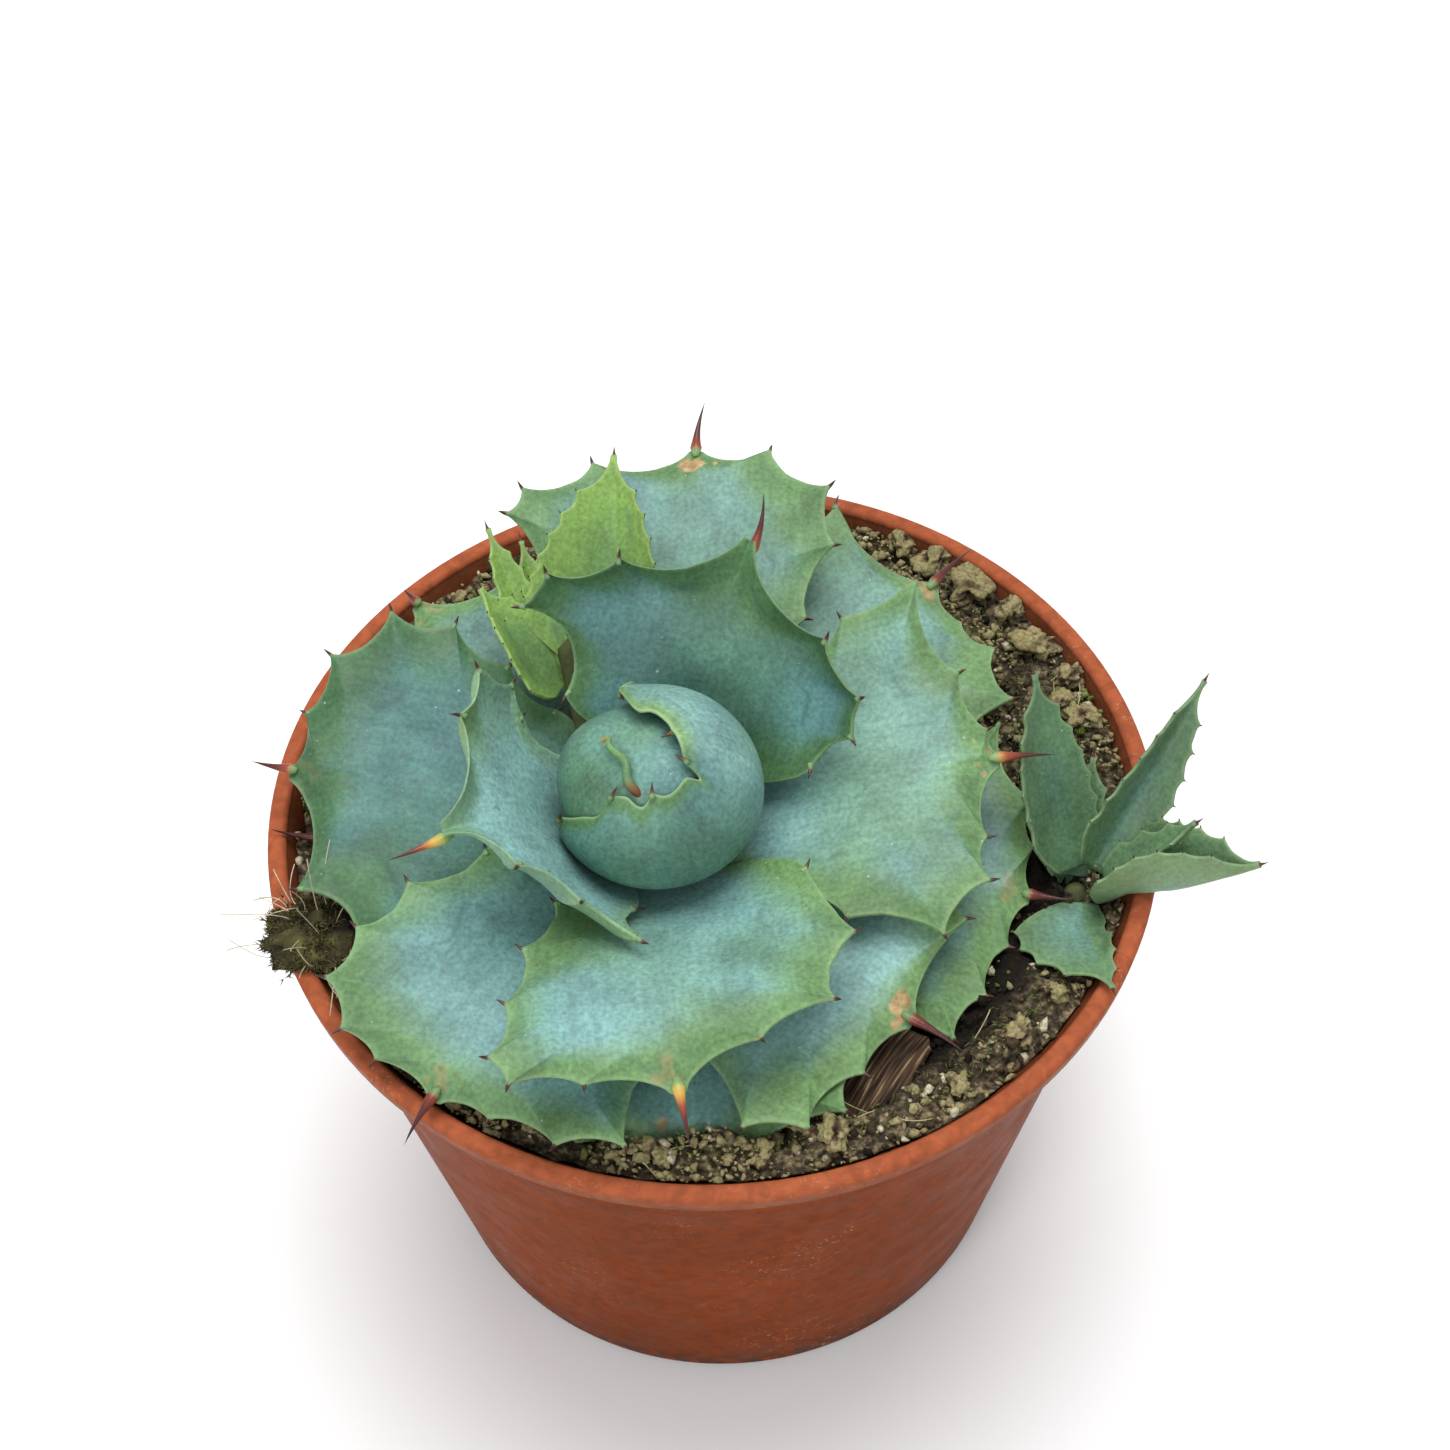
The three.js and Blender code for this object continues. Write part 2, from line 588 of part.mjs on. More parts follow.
function potGeometry() {
  let solid = toSolid(lathe(potOutline(), POT.sides));
  for (let i = 0; i < DRAIN.count; i++) {
    const hole = new THREE.CylinderGeometry(DRAIN.radius, DRAIN.radius, POT.floor * 3, DRAIN.sides);
    hole.rotateX(Math.PI / 2);
    const angle = (i / DRAIN.count) * 2 * Math.PI;
    hole.translate(DRAIN.ring * Math.cos(angle), DRAIN.ring * Math.sin(angle), POT.floor / 2);
    solid = solid.subtract(toSolid(hole));
  }
  return fromSolid(solid);
}

// Smooth bump: 1 at its middle and 0 from its radius out
function bump(distance, radius) {
  return (1 - clamp01(Math.abs(distance) / radius) ** 2) ** 2;
}

// Lumpy surface of the mix: a few crossing waves, the pale lumps and a level seat for the stone
function soilHeight(x, y) {
  const waves = Math.sin(x * 0.31 + 1.2) * Math.cos(y * 0.27) + 0.6 * Math.sin(x * 0.57 - y * 0.43);
  let z = SOIL.top + SOIL.lump * 0.5 * waves;
  for (const { at, radius, height } of PALE_LUMPS) {
    z += height * bump(Math.hypot(x - at[0], y - at[1]), radius);
  }
  const seat = bump(Math.hypot(x - STONE.at[0], y - STONE.at[1]), STONE.size[0] * 2.2);
  return mix(z, SOIL.top, clamp01(seat * 1.6));
}

// The filled pot's mix, kept under every leaf above it
function soilGeometry(leafFaces) {
  const { lipWidth, wall, floor, collarRadius, collarDepth, collarStep, footRadius, height } = POT;
  const { rings, spokes, wallGap } = SOIL;
  const collarFoot = height - collarDepth;
  const top = collarRadius - wall - wallGap;
  const random = seededRandom(SOIL.seed);
  const positions = [0, 0, soilHeight(0, 0)];
  const index = [];
  const ringAt = (ring, spoke) => 1 + ring * spokes + (spoke % spokes);
  for (let ring = 0; ring < rings; ring++) {
    const radius = (top * (ring + 1)) / rings;
    for (let spoke = 0; spoke < spokes; spoke++) {
      const angle = ((spoke + (ring % 2) / 2) / spokes) * 2 * Math.PI;
      const [x, y] = [radius * Math.cos(angle), radius * Math.sin(angle)];
      const rough = soilHeight(x, y) + (random() - 0.5) * SOIL.lump;
      positions.push(x, y, Math.min(rough, lowestOver(leafFaces, x, y) - SOIL.underLeaf));
    }
  }
  const walls = [
    [collarRadius - wall - wallGap, collarFoot + collarStep + 0.6],
    [collarRadius - collarStep - wall - wallGap, collarFoot - wallGap],
    [footRadius - wall - wallGap, floor + wallGap],
  ];
  for (const [radius, z] of walls) {
    for (let spoke = 0; spoke < spokes; spoke++) {
      const angle = ((spoke + ((rings - 1) % 2) / 2) / spokes) * 2 * Math.PI;
      positions.push(radius * Math.cos(angle), radius * Math.sin(angle), z);
    }
  }
  positions.push(0, 0, floor + wallGap);
  const bottom = positions.length / 3 - 1;
  const levels = rings + walls.length;
  for (let spoke = 0; spoke < spokes; spoke++) {
    index.push(0, ringAt(0, spoke), ringAt(0, spoke + 1));
    index.push(bottom, ringAt(levels - 1, spoke + 1), ringAt(levels - 1, spoke));
    for (let ring = 0; ring < levels - 1; ring++) {
      const [a, b] = [ringAt(ring, spoke), ringAt(ring, spoke + 1)];
      const [c, d] = [ringAt(ring + 1, spoke), ringAt(ring + 1, spoke + 1)];
      index.push(a, c, d, a, d, b);
    }
  }
  return geometryFrom(positions, index);
}

// A lumpy pebble-like body, flattened underneath
function lumpyBody(size, turn, seed, detail, flat) {
  const random = seededRandom(seed);
  const slant = () => random() * 5 - 2.5;
  const waves = Array.from({ length: 4 }, () => [slant(), slant(), slant()]);
  const geometry = welded(new THREE.IcosahedronGeometry(1, detail));
  const { position } = geometry.attributes;
  for (let i = 0; i < position.count; i++) {
    const p = new THREE.Vector3().fromBufferAttribute(position, i);
    const swell = waves.reduce((sum, [a, b, c]) => sum + Math.sin(a * p.x + b * p.y + c * p.z + a), 0);
    p.multiplyScalar(1 + 0.07 * swell);
    p.z = Math.max(p.z, -flat);
    position.setXYZ(i, p.x * size[0], p.y * size[1], p.z * size[2]);
  }
  return geometry.rotateZ(turn * DEG);
}

// Moss over the lip: a lumpy cushion with short blades sunk into it, cut clear of the pot
function tuftGeometry() {
  const { at, size, turn, seed, blades, bladeLength, bladeRadius } = TUFT;
  let solid = toSolid(lumpyBody(size, turn, seed, 3, 0.9));
  const random = seededRandom(seed + 1);
  for (let i = 0; i < blades; i++) {
    const [azimuth, polar] = [random() * 2 * Math.PI, (10 + 75 * random()) * DEG];
    const out = new THREE.Vector3(
      Math.sin(polar) * Math.cos(azimuth), Math.sin(polar) * Math.sin(azimuth), Math.cos(polar));
    const blade = new THREE.ConeGeometry(bladeRadius, bladeLength * (0.7 + 0.6 * random()), 3);
    blade.applyQuaternion(new THREE.Quaternion().setFromUnitVectors(new THREE.Vector3(0, 1, 0), out));
    const root = out.clone().multiply(new THREE.Vector3(...size));
    root.applyAxisAngle(new THREE.Vector3(0, 0, 1), turn * DEG);
    blade.translate(root.x, root.y, root.z);
    solid = solid.add(toSolid(blade));
  }
  return fromSolid(largestBody(solid)).translate(...at);
}

// A tapered round body along a smooth curve through the points
function taperedTube({ points, radius, steps, sides }) {
  const curve = new THREE.CatmullRomCurve3(points.map((point) => new THREE.Vector3(...point)));
  const frames = curve.computeFrenetFrames(steps, false);
  const positions = [];
  const index = [];
  for (let i = 0; i <= steps; i++) {
    const middle = curve.getPointAt(i / steps);
    const wide = mix(radius[0], radius[1], i / steps);
    for (let k = 0; k < sides; k++) {
      const angle = (k / sides) * 2 * Math.PI;
      const rim = middle.clone()
        .addScaledVector(frames.normals[i], Math.cos(angle) * wide)
        .addScaledVector(frames.binormals[i], Math.sin(angle) * wide);
      positions.push(rim.x, rim.y, rim.z);
    }
  }
  const ends = [curve.getPointAt(0), curve.getPointAt(1)].map((point) => {
    positions.push(point.x, point.y, point.z);
    return positions.length / 3 - 1;
  });
  for (let k = 0; k < sides; k++) {
    const beside = (k + 1) % sides;
    index.push(ends[0], beside, k, ends[1], steps * sides + k, steps * sides + beside);
    for (let i = 0; i < steps; i++) {
      const [a, b] = [i * sides + k, i * sides + beside];
      index.push(a, b, a + sides, b, b + sides, a + sides);
    }
  }
  return geometryFrom(positions, index);
}

// A spot on the bud at an azimuth and a polar angle, drawn in to a waist below its middle
function budPoint(azimuth, polar, radius) {
  const below = clamp01((polar - 90) / (BUD.base - 90));
  const out = radius * Math.sin(polar * DEG) - BUD.waist * below * below;
  return new THREE.Vector3(
    BUD.middle[0] * (1 - below) + out * Math.cos(azimuth * DEG),
    BUD.middle[1] * (1 - below) + out * Math.sin(azimuth * DEG),
    BUD.middle[2] + radius * Math.cos(polar * DEG),
  );
}

// The hood leaf: a curved shell from the bud's base up to its toothed margin
function hoodGeometry() {
  const columns = HOOD_MARGIN.length;
  const { rows, thick, from, to, thorn } = HOOD;
  const positions = [];
  const index = [];
  const add = (point) => {
    positions.push(point.x, point.y, point.z);
    return positions.length / 3 - 1;
  };
  const grid = HOOD_MARGIN.map((margin, column) => {
    const base = mix(from, to, column / (columns - 1));
    return Array.from({ length: rows + 1 }, (_, row) => {
      const share = row / rows;
      const azimuth = mix(base, margin.azimuth, share);
      const polar = mix(BUD.base, margin.polar, share);
      const inside = BUD.radius - mix(thick[0], thick[1], share);
      if (row === rows && margin.sharp) {
        const point = budPoint(azimuth, polar - thorn * 4, (BUD.radius + inside) / 2 + thorn * 0.3);
        const vertex = add(point);
        return [vertex, vertex];
      }
      return [add(budPoint(azimuth, polar, BUD.radius)), add(budPoint(azimuth, polar, inside))];
    });
  });
  const face = (a, b, c) => {
    if (a !== b && b !== c && c !== a) index.push(a, b, c);
  };
  const strip = (a, b) => {
    face(a[0], b[0], a[1]);
    face(b[0], b[1], a[1]);
  };
  for (let column = 0; column < columns - 1; column++) {
    for (let row = 0; row < rows; row++) {
      const [a, b] = [grid[column][row], grid[column + 1][row]];
      const [c, d] = [grid[column][row + 1], grid[column + 1][row + 1]];
      face(a[0], b[0], d[0]);
      face(a[0], d[0], c[0]);
      face(d[1], b[1], a[1]);
      face(c[1], d[1], a[1]);
    }
    strip(grid[column + 1][0], grid[column][0]);
    strip(grid[column][rows], grid[column + 1][rows]);
  }
  for (let row = 0; row < rows; row++) {
    strip(grid[0][row], grid[0][row + 1]);
    strip(grid[columns - 1][row + 1], grid[columns - 1][row]);
  }
  return geometryFrom(positions, index);
}

// The inner roll of the bud, bulging where the hood leaves it bare, with its curled spine fused on
function innerBudGeometry() {
  const [around, down, lowest] = [26, 11, 128];
  const { azimuth: middle, half, height } = INNER_BULGE;
  const rings = [];
  for (let ring = 1; ring <= down; ring++) {
    const polar = (lowest * ring) / down;
    for (let k = 0; k < around; k++) {
      const azimuth = (360 * k) / around;
      const faded = clamp01((polar - 20) / 40) * clamp01((125 - polar) / 30);
      const swell = height * bump(azimuth - middle, half) * faded;
      rings.push(budPoint(azimuth, polar, BUD.inner + swell));
    }
  }
  const crest = budPoint(0, 0, BUD.inner);
  const foot = new THREE.Vector3(0, 0, budPoint(0, lowest, BUD.inner).z);
  const positions = [crest, ...rings, foot].flatMap((point) => point.toArray());
  const index = [];
  for (let k = 0; k < around; k++) {
    const beside = (k + 1) % around;
    index.push(0, 1 + k, 1 + beside);
    const last = 1 + (down - 1) * around;
    index.push(rings.length + 1, last + beside, last + k);
    for (let ring = 0; ring < down - 1; ring++) {
      const [a, b] = [1 + ring * around + k, 1 + ring * around + beside];
      index.push(a, a + around, b, b, a + around, b + around);
    }
  }
  const solid = toSolid(geometryFrom(positions, index)).add(toSolid(taperedTube(CURLED_SPINE)));
  return fromSolid(largestBody(solid));
}

function stemGeometry({ foot, top, radius }) {
  const geometry = new THREE.CylinderGeometry(radius * 0.97, radius, top - foot, 16);
  return geometry.rotateX(Math.PI / 2).translate(0, 0, (top + foot) / 2);
}

function crownGroup({ at, lean, toward }) {
  const group = new THREE.Group();
  group.position.set(...at);
  const axis = new THREE.Vector3(-Math.sin(toward * DEG), Math.cos(toward * DEG), 0);
  group.quaternion.setFromAxisAngle(axis, lean * DEG);
  return group;
}

function named(name, geometry, material) {
  geometry.computeVertexNormals();
  const mesh = new THREE.Mesh(geometry, material);
  mesh.name = name;
  return mesh;
}

function worldFaces(mesh) {
  mesh.updateWorldMatrix(true, false);
  const { position } = mesh.geometry.attributes;
  const corners = Array.from({ length: position.count }, (_, i) => (
    new THREE.Vector3().fromBufferAttribute(position, i).applyMatrix4(mesh.matrixWorld)));
  const faces = [];
  const { array } = mesh.geometry.index;
  for (let i = 0; i < array.length; i += 3) {
    faces.push([corners[array[i]], corners[array[i + 1]], corners[array[i + 2]]]);
  }
  return faces;
}

// Height of a triangle over (x, y), or null where the spot lies outside it
function heightAt([a, b, c], x, y) {
  const area = (b.x - a.x) * (c.y - a.y) - (c.x - a.x) * (b.y - a.y);
  if (Math.abs(area) < 1e-9) return null;
  const u = ((x - a.x) * (c.y - a.y) - (c.x - a.x) * (y - a.y)) / area;
  const v = ((b.x - a.x) * (y - a.y) - (x - a.x) * (b.y - a.y)) / area;
  if (u < 0 || v < 0 || u + v > 1) return null;
  return a.z + u * (b.z - a.z) + v * (c.z - a.z);
}

function lowestOver(faces, x, y) {
  let lowest = Infinity;
  for (const face of faces) lowest = Math.min(lowest, heightAt(face, x, y) ?? Infinity);
  return lowest;
}

// Presses an older leaf down until it lies clear of the younger ones above it, in a smooth bend
const PRESS = { gap: 0.9, spread: 0.85, rounds: 12 };
function pressUnder(mesh, younger) {
  mesh.updateWorldMatrix(true, false);
  const { position } = mesh.geometry.attributes;
  const { pairs, topFaces } = mesh.geometry.userData;
  const spots = pairs.map(([top]) => (
    new THREE.Vector3().fromBufferAttribute(position, top).applyMatrix4(mesh.matrixWorld)));
  const own = topFaces.map((face) => face.map((pair) => spots[pair]));
  let drops = pairs.map(() => 0);
  for (const faces of younger.map(worldFaces)) {
    spots.forEach((spot, pair) => {
      drops[pair] = Math.max(drops[pair], spot.z + PRESS.gap - lowestOver(faces, spot.x, spot.y));
    });
    for (const corner of new Set(faces.flat())) {
      own.forEach((face, number) => {
        const drop = (heightAt(face, corner.x, corner.y) ?? -Infinity) + PRESS.gap - corner.z;
        for (const pair of topFaces[number]) drops[pair] = Math.max(drops[pair], drop);
      });
    }
  }
  const beside = pairs.map(() => new Set());
  topFaces.forEach((face) => face.forEach((pair) => face.forEach((near) => beside[pair].add(near))));
  for (let round = 0; round < PRESS.rounds; round++) {
    drops = drops.map((drop, pair) => {
      const sum = Array.from(beside[pair]).reduce((total, near) => total + drops[near], 0);
      return Math.max(drop, (PRESS.spread * sum) / beside[pair].size);
    });
  }
  const down = new THREE.Vector3(0, 0, -1).transformDirection(mesh.matrixWorld.clone().invert());
  const byVertex = new Array(position.count).fill(drops[RIB_STEPS]);
  pairs.forEach((pair, number) => pair.forEach((vertex) => { byVertex[vertex] = drops[number]; }));
  byVertex.forEach((drop, vertex) => {
    const moved = new THREE.Vector3().fromBufferAttribute(position, vertex).addScaledVector(down, drop);
    position.setXYZ(vertex, moved.x, moved.y, moved.z);
  });
}

// Cuts a piece clear of its neighbours where they would touch, and drops needless cut corners.
// Each neighbour cuts with the shape it had before its own cuts.
const CUT_TOLERANCE = 0.15;
function cutClear(mesh, neighbours, gap) {
  mesh.userData.whole = mesh.geometry;
  mesh.updateWorldMatrix(true, false);
  let solid = toSolid(mesh.geometry.clone().applyMatrix4(mesh.matrixWorld));
  let touched = false;
  for (const neighbour of neighbours) {
    neighbour.updateWorldMatrix(true, false);
    const grown = inflated(neighbour.userData.whole ?? neighbour.geometry, gap);
    const cutter = toSolid(grown.applyMatrix4(neighbour.matrixWorld));
    if (solid.intersect(cutter).isEmpty()) continue;
    solid = solid.subtract(cutter);
    touched = true;
  }
  if (!touched) return;
  const kept = fromSolid(largestBody(solid.simplify(CUT_TOLERANCE)));
  const whole = fromSolid(largestBody(toSolid(kept)));
  mesh.geometry = whole.applyMatrix4(mesh.matrixWorld.clone().invert());
}

const part = new THREE.Group();
const pot = named('pot', potGeometry(), matte(COLOUR.pot, 0.5));
part.add(pot);
const leafColour = matte(COLOUR.leaf, 0.6);
const stemColour = matte(COLOUR.stem, 0.7);

// Main rosette, from the bud out
const mainCrown = crownGroup(MAIN_CROWN);
part.add(mainCrown);
const innerBud = named('bud_inner', innerBudGeometry(), matte(COLOUR.bud, 0.6));
const hood = named('bud_hood', hoodGeometry(), matte(COLOUR.bud, 0.6));
const mainStem = named('main_stem', stemGeometry(MAIN_STEM), stemColour);
mainCrown.add(innerBud, hood, mainStem);
const mainLeaves = [];
for (const spec of LEAVES) {
  const mesh = named(spec.name, mainLeaf(spec), leafColour);
  mesh.rotation.z = spec.azimuth * DEG;
  mainCrown.add(mesh);
  pressUnder(mesh, [hood, innerBud, ...mainLeaves]);
  cutClear(mesh, [hood, innerBud, ...mainLeaves, mainStem, pot], GAP);
  mainLeaves.push(mesh);
}

// The two offsets. Their crowded feet are cut clear of each other and of the main leaves.
function addOffset(crown, specs, stemName, stemShape, colour) {
  const group = crownGroup(crown);
  part.add(group);
  const stem = named(stemName, stemGeometry(stemShape), stemColour);
  group.add(stem);
  const siblings = [];
  for (const spec of specs) {
    const mesh = named(spec.name, offsetLeaf(spec), colour);
    mesh.rotation.z = spec.azimuth * DEG;
    group.add(mesh);
    cutClear(mesh, [stem, ...siblings, ...mainLeaves, mainStem, pot], OFFSET_GAP);
    siblings.push(mesh);
  }
  cutClear(stem, [mainStem, ...mainLeaves], GAP);
  return [stem, ...siblings];
}
const rightOffset = addOffset(RIGHT_CROWN, RIGHT_LEAVES, 'right_stem', OFFSET_STEM, leafColour);
const backOffset = addOffset(BACK_CROWN, BACK_LEAVES, 'back_stem', BACK_STEM, matte(COLOUR.young, 0.6));

// The mix and what lies on it
const dried = named('dried_leaf', driedLeaf(DRIED_LEAF), matte(COLOUR.dried, 0.8));
dried.position.set(...DRIED_LEAF.at);
dried.rotation.z = DRIED_LEAF.turn * DEG;
part.add(dried);
cutClear(dried, mainLeaves, GAP);
const plant = [...mainLeaves, ...rightOffset, ...backOffset, mainStem];
const overMix = [...mainLeaves, ...rightOffset.slice(1), ...backOffset.slice(1), dried];
const leafFaces = overMix.flatMap(worldFaces);
const soil = named('soil', soilGeometry(leafFaces), matte(COLOUR.soil, 0.95));
part.add(soil);
cutClear(soil, [...plant, dried], GAP);

const stoneShape = lumpyBody(STONE.size, STONE.turn, STONE.seed, 1, 0.8);
const stone = named('stone', stoneShape, matte(COLOUR.stone, 0.8));
stone.position.set(...STONE.at, SOIL.top + STONE.size[2] * 0.8 + STONE.lift);
part.add(stone);
cutClear(stone, [soil, pot, dried, ...mainLeaves], GAP);
const tuft = named('moss_tuft', tuftGeometry(), matte(COLOUR.moss, 0.95));
part.add(tuft);
cutClear(tuft, [soil, pot, ...mainLeaves], GAP);

export default part;
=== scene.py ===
"""Looks of a potted butterfly agave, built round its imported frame. Sizes are in millimetres."""
import math

import bmesh
import bpy
import numpy as np
from mathutils import Matrix, Vector
from mathutils.bvhtree import BVHTree


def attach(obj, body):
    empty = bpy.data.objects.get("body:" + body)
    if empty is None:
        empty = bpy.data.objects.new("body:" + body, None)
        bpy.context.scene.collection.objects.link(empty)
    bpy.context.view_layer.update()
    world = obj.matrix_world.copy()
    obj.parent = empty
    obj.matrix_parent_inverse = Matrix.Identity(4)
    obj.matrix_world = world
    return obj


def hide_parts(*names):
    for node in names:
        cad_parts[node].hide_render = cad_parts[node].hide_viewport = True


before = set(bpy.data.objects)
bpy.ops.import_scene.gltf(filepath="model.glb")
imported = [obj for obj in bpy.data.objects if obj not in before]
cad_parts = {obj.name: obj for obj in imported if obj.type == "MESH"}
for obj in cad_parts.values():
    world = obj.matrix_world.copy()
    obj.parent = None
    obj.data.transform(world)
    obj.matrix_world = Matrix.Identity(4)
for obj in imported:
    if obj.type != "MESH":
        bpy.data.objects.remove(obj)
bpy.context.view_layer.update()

MM = 0.001

# Pot, as in the frame: moulded wall with a rolled lip and a shallow collar
LIP_RADIUS = 60.0
POT_HEIGHT = 82.0
LIP_WIDTH = 2.6
LIP_DEPTH = 3.2
LIP_ROUND = 0.9
COLLAR_RADIUS = 56.2
COLLAR_FOOT = POT_HEIGHT - 12.0
COLLAR_STEP = 0.9
FOOT_RADIUS = 43.5
WALL = 1.5
FLOOR_THICK = 2.0
DRAIN_COUNT = 6
DRAIN_RADIUS = 3.5
DRAIN_RING = 33.0
SOIL_RADIUS = COLLAR_RADIUS - WALL - 0.4
SOIL_TOP = 75.3
POT_TURNS = 160

# Where leaves meet the pot: they are drawn in to a radius from another one on, and rest on the lip
POT_ROOM = 54.4
DRAWN_FROM = 44.0
LIP_GAP = 0.1
LIP_EASE = 1.5

# Blades: scallops and raggedness of the margin, slant of the rows toward the tip, roundness of a
# keel and of the rim, least gap between columns, where a neighbour's faint mark runs, how far a
# pressed spot spreads, and the rings of thorns and spines
SIDES = (("left", 1), ("right", -1))
SCALLOP = 0.16
FIRST_SCALLOP = -0.08
RAGGED = 0.22
ROW_SLANT = 0.6
KEEL_ROUND = 0.7
RIM_OUT = 0.12
RIM_ANGLES = np.radians([60, 20, -20, -60])
COLUMN_GAP = 0.01
GHOST_SHARE = 0.6
PRESS_SPREAD = 5.0
THORN_RINGS = 7
SPINE_RINGS = 18

# Crowns: where each rosette's axis starts, its lean and the azimuth that it leans toward
MAIN_CROWN = {"at": (-7, -3, 72), "lean": 10, "toward": 270}
RIGHT_CROWN = {"at": (48, -13, 76), "lean": 12, "toward": 0}
BACK_CROWN = {"at": (-17.5, 12.5, 92), "lean": 50, "toward": 105}

# Stems: foot, top and radius along the crown's axis
MAIN_STEM = (-20, 18, 8.6)
OFFSET_STEM = (-12, 2.4, 1.8)
BACK_STEM = (-17, 7, 1.8)

